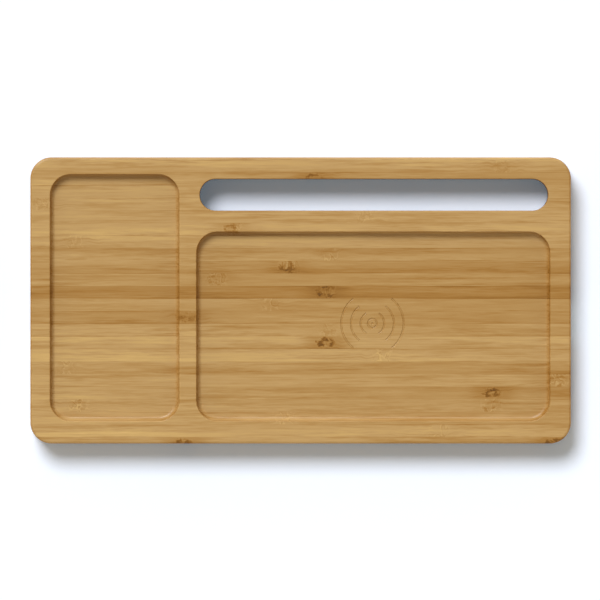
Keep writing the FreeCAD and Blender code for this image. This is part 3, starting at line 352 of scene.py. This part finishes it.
# 1 on the wall of the slot, by the distance from the slot's straight middle line. It marks where the wall
# gets
# painted shade: darker wood that also dims the warm light the wall bounces onto the floor below
def slotWallShade(tree, look, at):
    slotX, slotY = look["slotCentre"]
    fromX = addNode(tree, "Math", {0: at["x"], 1: slotX}, operation="SUBTRACT")[0]
    fromX = addNode(tree, "Math", {0: fromX}, operation="ABSOLUTE")[0]
    fromX = addNode(tree, "Math", {0: fromX, 1: look["slotStraight"]}, operation="SUBTRACT")[0]
    fromX = addNode(tree, "Math", {0: fromX, 1: 0.0}, operation="MAXIMUM")[0]
    fromY = addNode(tree, "Math", {0: at["y"], 1: slotY}, operation="SUBTRACT")[0]
    fromSlot = addNode(tree, "CombineXYZ", {"X": fromX, "Y": fromY})[0]
    fromSlot = addNode(tree, "VectorMath", {0: fromSlot}, operation="LENGTH")["Value"]
    wall = look["slotRadius"]
    return addNode(tree, "MapRange", {"Value": fromSlot, "From Min": wall + look["slotShadeDepth"],
                                      "From Max": wall})[0]


# Long fibres seen as fine streaks along each strip, a tone step at each glue line, a gradient across each
# strip where the fibres crowd towards the outside of the cane, and a knuckle with squiggles and brown smudges
def bambooStrips(look):
    material, tree = newMaterial("bamboo_side_pressed_oiled")
    at = stripPlace(tree, look)
    streaks = fibreStreaks(tree, look, at["cane"])
    layers = [(streak, weight) for streak, (_, _, weight) in zip(streaks, look["streaks"])]
    fibre = 0.0
    for streak, weight in layers:
        fibre = addNode(tree, "Math", {0: streak, 1: weight, 2: fibre}, operation="MULTIPLY_ADD")[0]
    strong = addNode(tree, "Math", {0: fibre}, operation="ABSOLUTE")[0]
    bundles = vesselBundles(tree, look, at["cane"])
    browning = addNode(tree, "Math", {0: at["halo"], 1: look["haloPower"]}, operation="POWER")[0]
    browning = addNode(tree, "Math", {0: browning, 1: at["brown"]}, operation="MULTIPLY")[0]
    # End grain drinks more oil, so it is darker, and its bundles stand out as dots
    endwise = endGrain(tree, look)
    dots = addNode(tree, "Math", {0: endwise, 1: bundles}, operation="MULTIPLY")[0]
    # The last layer is the painted shade on the slot's wall
    layers += [(strong, look["strongTone"]), (bundles, look["bundleTone"]), (browning, look["haloTone"]),
               (eyeRing(tree, look, at), look["ringTone"]), *knuckleSquiggles(tree, look, at),
               (glueLine(tree, look, at), look["glueTone"]), (endwise, look["endTone"]),
               (dots, look["endDotTone"]), (slotWallShade(tree, look, at), look["slotShadeTone"])]
    tone = at["tone"]
    for layer, weight in layers:
        tone = addNode(tree, "Math", {0: layer, 1: weight, 2: tone}, operation="MULTIPLY_ADD")[0]

    low, high = look["colours"][0][0], look["colours"][-1][0]
    tone = addNode(tree, "MapRange", {"Value": tone, "From Min": low, "From Max": high})[0]
    colour = addNode(tree, "ValToRGB", {0: tone}, stops=[((level - low) / (high - low), fromHex(code))
                                                         for level, code in look["colours"]])[0]

    # Fine relief of the sanded fibres, a satin that is duller on the pale fibres, and a thin film of dry oil
    # that lights the routed edges
    *_, fine, finest = streaks
    relief = addNode(tree, "Math", {0: finest, 1: look["finestRelief"], 2: fine}, operation="MULTIPLY_ADD")[0]
    relief = addNode(tree, "Bump", {"Strength": look["reliefStrength"], "Distance": look["relief"] * mm,
                                    "Height": relief})[0]
    dark, pale = look["rough"]
    rough = addNode(tree, "MapRange", {"Value": fine, "From Min": -look["roughStreak"],
                                       "From Max": look["roughStreak"], "To Min": dark, "To Max": pale})[0]
    surface = addNode(tree, "BsdfPrincipled", {"Base Color": colour, "Roughness": rough, "Normal": relief,
                                               **look["shader"]})[0]
    addNode(tree, "OutputMaterial", {"Surface": surface})
    return material


dress(bambooStrips(bamboo), "bamboo_board")
print("board dressed:", len(bamboo["strips"]), "strips")


# One build-up for mouldings, plated parts and sintered parts: two close colours in a slow blotch, and a grain
# that gives the relief and breaks the gloss. Sizes in mm; stretch lengthens the grain along the axes
def grainedFinish(name, look):
    material, tree = newMaterial(name)
    place = millimetres(tree)
    blotch = addNode(tree, "TexNoise", {"Vector": place, "Scale": 1 / look["blotch"], "Detail": 2.0})["Fac"]
    blotch = addNode(tree, "MapRange", {"Value": blotch, "From Min": noiseLow, "From Max": noiseHigh})[0]
    colour = addNode(tree, "ValToRGB", {0: blotch}, stops=[(0.0, fromHex(look["dark"])),
                                                           (1.0, fromHex(look["light"]))])[0]
    stretch = look.get("stretch", (1.0, 1.0, 1.0))
    drawn = addNode(tree, "VectorMath", {0: place, 1: stretch}, operation="DIVIDE")[0]
    grain = addNode(tree, "TexNoise", {"Vector": drawn, "Scale": 1 / look["grain"], "Detail": 2.0})["Fac"]
    relief = addNode(tree, "Bump", {"Strength": 1.0, "Distance": look["relief"] * mm, "Height": grain})[0]
    low, high = look["rough"]
    rough = addNode(tree, "MapRange", {"Value": grain, "From Min": noiseLow, "From Max": noiseHigh,
                                       "To Min": low, "To Max": high})[0]
    surface = addNode(tree, "BsdfPrincipled", {"Base Color": colour, "Roughness": rough, "Normal": relief,
                                               **look["shader"]})[0]
    addNode(tree, "OutputMaterial", {"Surface": surface})
    return material


# Cover moulded in ABS: warm off-white, with the fine even grain of a spark-eroded tool, drawn twice as coarse
# as the real 0.15 mm so that it shows
coverLook = {"light": "DFDDD6", "dark": "D7D5CD", "blotch": 35.0, "grain": 0.3, "relief": 0.02,
             "rough": (0.42, 0.6), "shader": {"IOR": 1.53}}
dress(grainedFinish("abs_moulded_spark_eroded", coverLook), "base_cover")

# Feet pressed in silicone rubber: mid grey, matt, slightly waxy, with a light bloom in patches
footLook = {"light": "8A8C8D", "dark": "7B7D7F", "blotch": 4.0, "grain": 0.25, "relief": 0.015,
            "rough": (0.55, 0.75),
            "shader": {"IOR": 1.41, "Subsurface Weight": 0.1, "Subsurface Scale": 1.0 * mm}}
dress(grainedFinish("silicone_rubber_pressed", footLook), "foot_front_left", "foot_front_right",
      "foot_rear_left", "foot_rear_right")

# Screws in steel, zinc plated and blue passivated: bright grey with a faint cloud of blue and straw
screwLook = {"light": "CFCDC4", "dark": "BCC4CB", "blotch": 1.6, "grain": 0.2, "relief": 0.006,
             "rough": (0.24, 0.4), "shader": {"Metallic": 1.0}}
dress(grainedFinish("steel_zinc_plated", screwLook), "cover_screws", "pcb_screws")

# Inlet shell stamped from tin-plated strip: satin bright, with fine rolling lines along its length
shellLook = {"light": "D2D2D1", "dark": "C6C7C8", "blotch": 3.0, "grain": 0.12, "relief": 0.004,
             "stretch": (18.0, 1.0, 1.0), "rough": (0.22, 0.36), "shader": {"Metallic": 1.0}}
dress(grainedFinish("steel_strip_tin_plated", shellLook), "usb_c_shell")

# Inlet insulator moulded in glass-filled polymer: near black, satin, with flow marks
insulatorLook = {"light": "202022", "dark": "18181A", "blotch": 1.5, "grain": 0.15, "relief": 0.008,
                 "stretch": (4.0, 1.0, 1.0), "rough": (0.38, 0.55), "shader": {"IOR": 1.6}}
dress(grainedFinish("glass_filled_polymer_moulded", insulatorLook), "usb_c_insulator")

# Contacts plated with gold: warm yellow, bright, with wiping lines along the contact
contactLook = {"light": "E6C478", "dark": "D9B566", "blotch": 0.8, "grain": 0.06, "relief": 0.002,
               "stretch": (12.0, 1.0, 1.0), "rough": (0.16, 0.3), "shader": {"Metallic": 1.0}}
dress(grainedFinish("copper_alloy_gold_plated", contactLook), "usb_c_contacts")

# Ferrite, pressed and sintered: dark grey, dull, with fine grit
ferriteLook = {"light": "4A4A4D", "dark": "3F3F42", "blotch": 2.5, "grain": 0.18, "relief": 0.02,
               "rough": (0.55, 0.8), "shader": {"IOR": 2.0, "Specular IOR Level": 0.3}}
dress(grainedFinish("ferrite_sintered", ferriteLook), "ferrite_plate", "power_inductor")

# Adhesive ring: tan film with slow waves from its roll
tapeLook = {"light": "D0C8B2", "dark": "C5BCA4", "blotch": 6.0, "grain": 1.2, "relief": 0.03,
            "stretch": (1.0, 3.0, 1.0), "rough": (0.3, 0.5), "shader": {"IOR": 1.48}}
dress(grainedFinish("acrylic_adhesive_film", tapeLook), "coil_tape")

# Light pipe moulded in clear acrylic, with faint haze
pipeLook = {"light": "F1F4F5", "dark": "E9EDEE", "blotch": 1.0, "grain": 0.3, "relief": 0.003,
            "rough": (0.04, 0.12), "shader": {"IOR": 1.49, "Transmission Weight": 1.0}}
dress(grainedFinish("acrylic_moulded_clear", pipeLook), "light_pipe")
print("mouldings and plated parts dressed")


# Circuit board: glass-epoxy laminate with copper under green solder mask. The mask is lighter over copper, so
# tracks show as pale lines, along X in some cells and along Y in others; vias are tinned dots; the sawn edge
# is bare laminate. Sizes in mm
boardLook = {"mask": "1F5236", "copperMask": "2F6E48", "via": "B9BBB6", "edge": "B5A878", "trackPitch": 0.8,
             "trackShare": 0.45, "trackHeight": 0.03, "cell": 5.0, "cellRandom": 0.8, "turnedShare": 0.5,
             "viaPitch": 3.1, "viaRadius": 0.32, "viaRandom": 0.7, "maskRough": 0.32, "edgeRough": 0.75}


def circuitLaminate(look):
    material, tree = newMaterial("glass_epoxy_solder_masked")
    place = millimetres(tree)
    x, y, _ = addNode(tree, "SeparateXYZ", {0: place})
    flat = addNode(tree, "CombineXYZ", {"X": x, "Y": y})[0]
    cells = addNode(tree, "TexVoronoi", {"Vector": flat, "Scale": 1 / look["cell"],
                                         "Randomness": look["cellRandom"]}, distance="CHEBYCHEV")["Color"]
    turn = addNode(tree, "SeparateColor", {0: cells})[0]
    turn = addNode(tree, "Math", {0: turn, 1: 1 - look["turnedShare"]}, operation="GREATER_THAN")[0]
    across = addNode(tree, "Mix", {"Factor": turn, "A": x, "B": y})[0]
    track = addNode(tree, "Math", {0: across, 1: look["trackPitch"]}, operation="DIVIDE")[0]
    track = addNode(tree, "Math", {0: track}, operation="FRACT")[0]
    track = addNode(tree, "Math", {0: track, 1: look["trackShare"]}, operation="LESS_THAN")[0]
    via = addNode(tree, "TexVoronoi", {"Vector": flat, "Scale": 1 / look["viaPitch"],
                                       "Randomness": look["viaRandom"]})["Distance"]
    via = addNode(tree, "Math", {0: via, 1: look["viaRadius"] / look["viaPitch"]}, operation="LESS_THAN")[0]
    colour = addNode(tree, "ValToRGB", {0: track}, stops=[(0.0, fromHex(look["mask"])),
                                                          (1.0, fromHex(look["copperMask"]))])[0]
    tin = fromHex(look["via"])
    colour = addNode(tree, "Mix", {"Factor": via, "A": colour, "B": tin}, data_type="RGBA")[2]
    normal = addNode(tree, "NewGeometry")["Normal"]
    face = addNode(tree, "SeparateXYZ", {0: normal})["Z"]
    face = addNode(tree, "Math", {0: face}, operation="ABSOLUTE")[0]
    face = addNode(tree, "Math", {0: face}, operation="ROUND")[0]
    bare = fromHex(look["edge"])
    colour = addNode(tree, "Mix", {"Factor": face, "A": bare, "B": colour}, data_type="RGBA")[2]
    height = look["trackHeight"] * mm
    relief = addNode(tree, "Bump", {"Strength": 1.0, "Distance": height, "Height": track})[0]
    metal = addNode(tree, "Math", {0: via, 1: face}, operation="MULTIPLY")[0]
    rough = addNode(tree, "MapRange", {"Value": face, "To Min": look["edgeRough"],
                                       "To Max": look["maskRough"]})[0]
    surface = addNode(tree, "BsdfPrincipled", {"Base Color": colour, "Metallic": metal, "Roughness": rough,
                                               "Normal": relief})[0]
    addNode(tree, "OutputMaterial", {"Surface": surface})
    return material


dress(circuitLaminate(boardLook), "charger_pcb")

# Parts on the board. Chips: black epoxy with a fine grit, and tinned pads along the lower edge. Capacitors:
# brown ceramic with tinned ends. Light: a white body with a yellow lens. All share the size and relief of the
# grit, and the roughness of the body and of its tin or lens. Sizes in mm
componentLook = {"grit": 0.12, "gritLevels": (0.35, 0.65), "relief": 0.012, "bodyRough": 0.55,
                 "accentRough": 0.28}
chipLook = {"body": "1D1D1F", "grit": "272729", "tin": "C9CAC8", "padPitch": 0.65, "padShare": 0.5,
            "padHeight": 0.2}
capacitorLook = {"body": "7B5F46", "grit": "8A6C50", "tin": "CFCFCC", "endLength": 0.6}
lightLook = {"body": "EDECE6", "grit": "E2E1DA", "lens": "E9D873", "lensWidth": 0.7, "lensHeight": 0.36}


# Body and accent of a component: part is 1 where the tin or the lens is, and metal is its metallic value
def componentFinish(material, tree, look, part, accent, metal):
    common = componentLook
    place = millimetres(tree)
    grit = addNode(tree, "TexNoise", {"Vector": place, "Scale": 1 / common["grit"], "Detail": 2.0})["Fac"]
    low, high = common["gritLevels"]
    colour = addNode(tree, "ValToRGB", {0: grit}, stops=[(low, fromHex(look["body"])),
                                                         (high, fromHex(look["grit"]))])[0]
    colour = addNode(tree, "Mix", {"Factor": part, "A": colour, "B": fromHex(accent)}, data_type="RGBA")[2]
    rough = addNode(tree, "MapRange", {"Value": part, "To Min": common["bodyRough"],
                                       "To Max": common["accentRough"]})[0]
    relief = addNode(tree, "Bump", {"Strength": 1.0, "Distance": common["relief"] * mm, "Height": grit})[0]
    surface = addNode(tree, "BsdfPrincipled", {"Base Color": colour, "Metallic": metal, "Roughness": rough,
                                               "Normal": relief})[0]
    addNode(tree, "OutputMaterial", {"Surface": surface})
    return material


def chipFinish(look, level):
    material, tree = newMaterial("epoxy_moulded_tinned_pads")
    x, y, z = addNode(tree, "SeparateXYZ", {0: millimetres(tree)})
    pad = addNode(tree, "Math", {0: x, 1: y}, operation="ADD")[0]
    pad = addNode(tree, "Math", {0: pad, 1: look["padPitch"]}, operation="DIVIDE")[0]
    pad = addNode(tree, "Math", {0: pad}, operation="FRACT")[0]
    pad = addNode(tree, "Math", {0: pad, 1: look["padShare"]}, operation="LESS_THAN")[0]
    low = addNode(tree, "Math", {0: z, 1: level + look["padHeight"]}, operation="LESS_THAN")[0]
    pad = addNode(tree, "Math", {0: pad, 1: low}, operation="MULTIPLY")[0]
    return componentFinish(material, tree, look, pad, look["tin"], metal=pad)


def capacitorFinish(look, node):
    material, tree = newMaterial("ceramic_fired_tinned_ends_" + node)
    left, right = (corner[0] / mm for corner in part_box(node))
    x = addNode(tree, "SeparateXYZ", {0: millimetres(tree)})[0]
    fromMiddle = addNode(tree, "Math", {0: x, 1: (left + right) / 2}, operation="SUBTRACT")[0]
    fromMiddle = addNode(tree, "Math", {0: fromMiddle}, operation="ABSOLUTE")[0]
    end = addNode(tree, "Math", {0: fromMiddle, 1: (right - left) / 2 - look["endLength"]},
                  operation="GREATER_THAN")[0]
    return componentFinish(material, tree, look, end, look["tin"], metal=end)


def lightFinish(look, node):
    material, tree = newMaterial("white_polymer_yellow_lens")
    low, high = (np.array(corner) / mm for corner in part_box(node))
    _, middleY, middleZ = (low + high) / 2
    _, y, z = addNode(tree, "SeparateXYZ", {0: millimetres(tree)})
    wide = addNode(tree, "Math", {0: y, 1: middleY}, operation="SUBTRACT")[0]
    wide = addNode(tree, "Math", {0: wide, 1: look["lensWidth"]}, operation="DIVIDE")[0]
    tall = addNode(tree, "Math", {0: z, 1: middleZ}, operation="SUBTRACT")[0]
    tall = addNode(tree, "Math", {0: tall, 1: look["lensHeight"]}, operation="DIVIDE")[0]
    oval = addNode(tree, "CombineXYZ", {"X": wide, "Y": tall})[0]
    oval = addNode(tree, "VectorMath", {0: oval}, operation="LENGTH")["Value"]
    lens = addNode(tree, "Math", {0: oval, 1: 1.0}, operation="LESS_THAN")[0]
    return componentFinish(material, tree, look, lens, look["lens"], metal=0.0)


dress(chipFinish(chipLook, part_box("controller_chip")[0][2] / mm), "controller_chip", "bridge_transistors")
for bank in ("resonant_capacitors", "input_capacitors"):
    dress(capacitorFinish(capacitorLook, bank), bank)
dress(lightFinish(lightLook, "status_led"), "status_led")
print("circuit board and its parts dressed")

# Coil of litz wire: strands of enamelled copper twisted into one round wire, wound as a flat spiral, with
# both ends led down to the circuit board
litz = {
    "centre": (35.9, -11.45),       # mm, middle of the coil
    "windingLevel": 9.01,           # mm
    "leadLevel": 6.15,
    "wireDiameter": 1.1,
    "innerRadius": 9.0,
    "pitch": 1.55,                  # mm from turn to turn
    "quarterTurns": 39,
    "leaveX": 63.0,                 # mm, where the outer lead has passed the ferrite
    "landingX": 94.8,
    "outerLandingY": -22.45,
    "strands": 7,
    "creaseShare": 0.18,            # depth of the creases between strands, in the wire's radius
    "lay": 9.0,                     # mm for one twist
    "sides": 28,
    "ringStep": 0.5,                # mm from ring to ring
    "bendPoints": 9,                # points on a quarter bend, a quarter turn and an arc of the outer lead
    "turnPoints": 40,
    "arcPoints": 30,
    "tinnedEnd": 2.5,               # mm
}


# The path: straight run and two quarter bends of the inner lead, then quarter circles that grow by a quarter
# of the pitch about centres that step back by as much, then the outer lead, an S of two equal arcs
def coilPath(look):
    start = np.array([look["centre"][0] + look["innerRadius"], look["centre"][1], look["windingLevel"]])
    bend = (look["windingLevel"] - look["leadLevel"]) / 2
    angle = np.linspace(0.0, np.pi / 2, look["bendPoints"])[:, None]
    xAxis, yAxis, zAxis = np.eye(3)
    firstBend = start - bend * zAxis + bend * (zAxis * np.cos(angle) - yAxis * np.sin(angle))
    below = firstBend[-1]
    secondBend = below + bend * xAxis - bend * (xAxis * np.cos(angle) + zAxis * np.sin(angle))
    landing = np.array([[look["landingX"], secondBend[-1, 1], look["leadLevel"]]])
    innerLead = np.vstack([firstBend, secondBend[1:], landing])[::-1]

    step = look["pitch"] / 4
    quarter = np.arange(look["quarterTurns"])
    shifts = -step * np.column_stack([np.cos(quarter * np.pi / 2), np.sin(quarter * np.pi / 2)])
    shifts[0] = look["centre"]
    centres = np.cumsum(shifts, axis=0)
    turn = np.linspace(0.0, look["quarterTurns"], look["turnPoints"] * look["quarterTurns"] + 1)
    index = np.minimum(turn.astype(int), look["quarterTurns"] - 1)
    radius = look["innerRadius"] + step * index
    aim = np.column_stack([np.cos(turn * np.pi / 2), np.sin(turn * np.pi / 2)])
    spiral = centres[index] + radius[:, None] * aim
    winding = np.column_stack([spiral, np.full(len(spiral), look["windingLevel"])])

    leave = np.array([look["leaveX"], winding[-1, 1], look["windingLevel"]])
    landing = np.array([look["landingX"], look["outerLandingY"], look["leadLevel"]])
    arrive = landing - look["wireDiameter"] * xAxis
    across = (arrive - leave) * (1 - xAxis)
    span, shift = arrive[0] - leave[0], np.linalg.norm(across)
    arcRadius = (span ** 2 + shift ** 2) / (4 * shift)
    swing = np.linspace(0.0, 2 * np.arctan2(shift, span), look["arcPoints"])[:, None]
    arc = arcRadius * (np.sin(swing) * xAxis + (1 - np.cos(swing)) * across / shift)
    outerLead = np.vstack([leave + arc, (arrive - arc)[-2::-1], landing])
    return np.vstack([innerLead, winding[1:], outerLead])


# Tube round the path, evenly ringed: each column of points keeps its angle in the section and turns once
# round in one lay; the section's radius falls from the crown of a strand to the crease beside it. Each point
# also keeps its crown, 1 to 0, and the length of wire to the nearer end
def litzWire(look):
    path = coilPath(look)
    run = np.concatenate([[0.0], np.cumsum(np.linalg.norm(np.diff(path, axis=0), axis=1))])
    length = np.linspace(0.0, run[-1], int(run[-1] / look["ringStep"]))
    centre = np.column_stack([np.interp(length, run, path[:, axis]) for axis in range(3)])
    along = np.gradient(centre, axis=0)
    along /= np.linalg.norm(along, axis=1)[:, None]
    normal = 1.0 - along * along.sum(axis=1)[:, None]
    normal /= np.linalg.norm(normal, axis=1)[:, None]
    side = np.cross(along, normal)
    column = np.linspace(0.0, 2 * np.pi, look["sides"], endpoint=False)
    angle = column[None, :] + 2 * np.pi * length[:, None] / look["lay"]
    crown = np.abs(np.cos(look["strands"] * column / 2))
    radius = look["wireDiameter"] / 2 * (1 - look["creaseShare"] * (1 - crown))
    points = centre[:, None, :] + radius[None, :, None] * (np.cos(angle)[..., None] * normal[:, None, :]
                                                           + np.sin(angle)[..., None] * side[:, None, :])
    rings, sides = angle.shape
    number = np.arange(rings * sides).reshape(rings, sides)
    onward = np.roll(number, -1, axis=1)
    quads = np.stack([number[:-1], onward[:-1], onward[1:], number[1:]], axis=-1).reshape(-1, 4)
    mesh = bpy.data.meshes.new("litz_coil")
    mesh.from_pydata((points.reshape(-1, 3) * mm).tolist(), [],
                     quads.tolist() + [number[0, ::-1].tolist(), number[-1].tolist()])
    mesh.polygons.foreach_set("use_smooth", np.ones(len(mesh.polygons), dtype=bool))
    toEnd = np.minimum(length, length[-1] - length)
    mesh.attributes.new("toEnd", "FLOAT", "POINT").data.foreach_set("value", np.repeat(toEnd, sides))
    mesh.attributes.new("crown", "FLOAT", "POINT").data.foreach_set("value", np.tile(crown, rings))
    return mesh


# Enamelled copper: red-brown metal under clear lacquer, with painted shade darkening the creases between
# strands, and tinned at both ends
litzLook = {"copper": "BD7449", "creaseShade": "6E3A1E", "creaseShadeLevel": 0.45, "tin": "C8C8C4", "patch": 2.0,
            "rough": (0.25, 0.42), "lacquer": {"Coat Weight": 0.6, "Coat Roughness": 0.12}}


def enamelledCopper(look, tinnedEnd):
    material, tree = newMaterial("copper_litz_enamelled")
    place = millimetres(tree)
    patch = addNode(tree, "TexNoise", {"Vector": place, "Scale": 1 / look["patch"], "Detail": 2.0})["Fac"]
    # The crown, 1 on a strand and 0 in the crease between strands, sets the painted shade in the creases
    crown = addNode(tree, "Attribute", attribute_name="crown")["Fac"]
    crown = addNode(tree, "Math", {0: crown, 1: patch}, operation="ADD")[0]
    colour = addNode(tree, "ValToRGB", {0: crown}, stops=[(look["creaseShadeLevel"], fromHex(look["creaseShade"])),
                                                          (1.0, fromHex(look["copper"]))])[0]
    toEnd = addNode(tree, "Attribute", attribute_name="toEnd")["Fac"]
    tinned = addNode(tree, "Math", {0: toEnd, 1: tinnedEnd}, operation="LESS_THAN")[0]
    tin = fromHex(look["tin"])
    colour = addNode(tree, "Mix", {"Factor": tinned, "A": colour, "B": tin}, data_type="RGBA")[2]
    low, high = look["rough"]
    rough = addNode(tree, "MapRange", {"Value": patch, "From Min": noiseLow, "From Max": noiseHigh,
                                       "To Min": low, "To Max": high})[0]
    surface = addNode(tree, "BsdfPrincipled", {"Base Color": colour, "Metallic": 1.0, "Roughness": rough,
                                               **look["lacquer"]})[0]
    addNode(tree, "OutputMaterial", {"Surface": surface})
    return material


coil = bpy.data.objects.new("litz_coil", litzWire(litz))
bpy.context.scene.collection.objects.link(coil)
coil.data.materials.append(enamelledCopper(litzLook, litz["tinnedEnd"]))
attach(coil, "root")
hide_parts("coil_winding", "coil_lead_inner", "coil_lead_outer")
print("coil wound:", len(coil.data.polygons), "faces")

# Stage: pale floor, soft light from all round and one wide soft lamp from the rear left
studio = {
    "floorSide": 12.0,              # m
    "floorColour": "FAFBFF",
    "floorGlow": "40C6FF",          # faint cool light that the floor adds where it is looked at
    "floorGlowLevel": 0.1,
    "overheadColour": "FFFAE5",     # light from high up
    "overheadLevel": 0.235,
    "overheadHeight": 0.7,          # share of the way up from which it is full
    "aroundColour": "FFE6CC",       # warm light from the horizon
    "aroundLevel": 1.15,
    "lampColour": "ECF3FF",
    "lampStrength": 3.1,            # W per square metre
    "lampSpread": 28.0,             # degrees across the lamp
    "lampLean": 35.0,               # degrees from the vertical, to the rear
    "lampTurn": 26.0,               # degrees of that lean towards the left
}


# 1 where the camera looks at the stage, straight or in metal or glass
def lookedAt(tree):
    path = addNode(tree, "LightPath")
    seen = path["Is Camera Ray"]
    for ray in ("Is Glossy Ray", "Is Transmission Ray"):
        seen = addNode(tree, "Math", {0: seen, 1: path[ray]}, operation="MAXIMUM")[0]
    return seen


def makeStage(look):
    half = look["floorSide"] / 2
    mesh = bpy.data.meshes.new("floor")
    corners = [(-half, -half, 0.0), (half, -half, 0.0), (half, half, 0.0), (-half, half, 0.0)]
    mesh.from_pydata(corners, [], [(0, 1, 2, 3)])
    floor = bpy.data.objects.new("floor", mesh)
    bpy.context.scene.collection.objects.link(floor)
    material, tree = newMaterial("studio_floor_white")
    sheet = addNode(tree, "BsdfDiffuse", {"Color": fromHex(look["floorColour"])})[0]
    glow = addNode(tree, "Math", {0: lookedAt(tree), 1: look["floorGlowLevel"]}, operation="MULTIPLY")[0]
    glow = addNode(tree, "Emission", {"Color": fromHex(look["floorGlow"]), "Strength": glow})[0]
    surface = addNode(tree, "AddShader", {0: sheet, 1: glow})[0]
    addNode(tree, "OutputMaterial", {"Surface": surface})
    mesh.materials.append(material)

    # The world's light goes from one colour at the horizon to the other overhead, and it is plain white where
    # it is looked at
    world = bpy.data.worlds.new("studio")
    bpy.context.scene.world = world
    world.use_nodes = True
    tree = world.node_tree
    tree.nodes.clear()
    direction = addNode(tree, "TexCoord")["Generated"]
    height = addNode(tree, "SeparateXYZ", {0: direction})["Z"]
    around = [look["aroundLevel"] * c for c in fromHex(look["aroundColour"])]
    overhead = [look["overheadLevel"] * c for c in fromHex(look["overheadColour"])]
    stops = [(0.0, around), (look["overheadHeight"], overhead)]
    glow = addNode(tree, "ValToRGB", {0: height}, stops=stops)[0]
    fill = addNode(tree, "Background", {"Color": glow, "Strength": 1.0})[0]
    backdrop = addNode(tree, "Background", {"Color": (1.0, 1.0, 1.0, 1.0), "Strength": 1.0})[0]
    light = addNode(tree, "MixShader", {0: lookedAt(tree), 1: fill, 2: backdrop})[0]
    addNode(tree, "OutputWorld", {"Surface": light})

    data = bpy.data.lights.new("soft_lamp", "SUN")
    data.color = fromHex(look["lampColour"])[:3]
    data.energy = look["lampStrength"]
    data.angle = math.radians(look["lampSpread"])
    lamp = bpy.data.objects.new("soft_lamp", data)
    lamp.rotation_euler = (-math.radians(look["lampLean"]), 0.0, math.radians(look["lampTurn"]))
    bpy.context.scene.collection.objects.link(lamp)


makeStage(studio)

camera = {
    "place": (-0.31, 0.25, 5000.0),   # mm, straight above the board
    "frame": 299.67,                  # mm across the picture at the board's edge
    "frameLevel": 16.8,               # mm
    "sensor": 36.0,
    "farLimit": 50000.0,
}


def makeCamera(look):
    data = bpy.data.cameras.new("camera")
    data.sensor_width = look["sensor"]
    data.lens = look["sensor"] * (look["place"][2] - look["frameLevel"]) / look["frame"]
    data.clip_end = look["farLimit"] * mm
    view = bpy.data.objects.new("camera", data)
    view.location = [v * mm for v in look["place"]]
    bpy.context.scene.collection.objects.link(view)
    bpy.context.scene.camera = view


makeCamera(camera)
bpy.context.scene.view_settings.view_transform = "Standard"
print("stage and camera set")
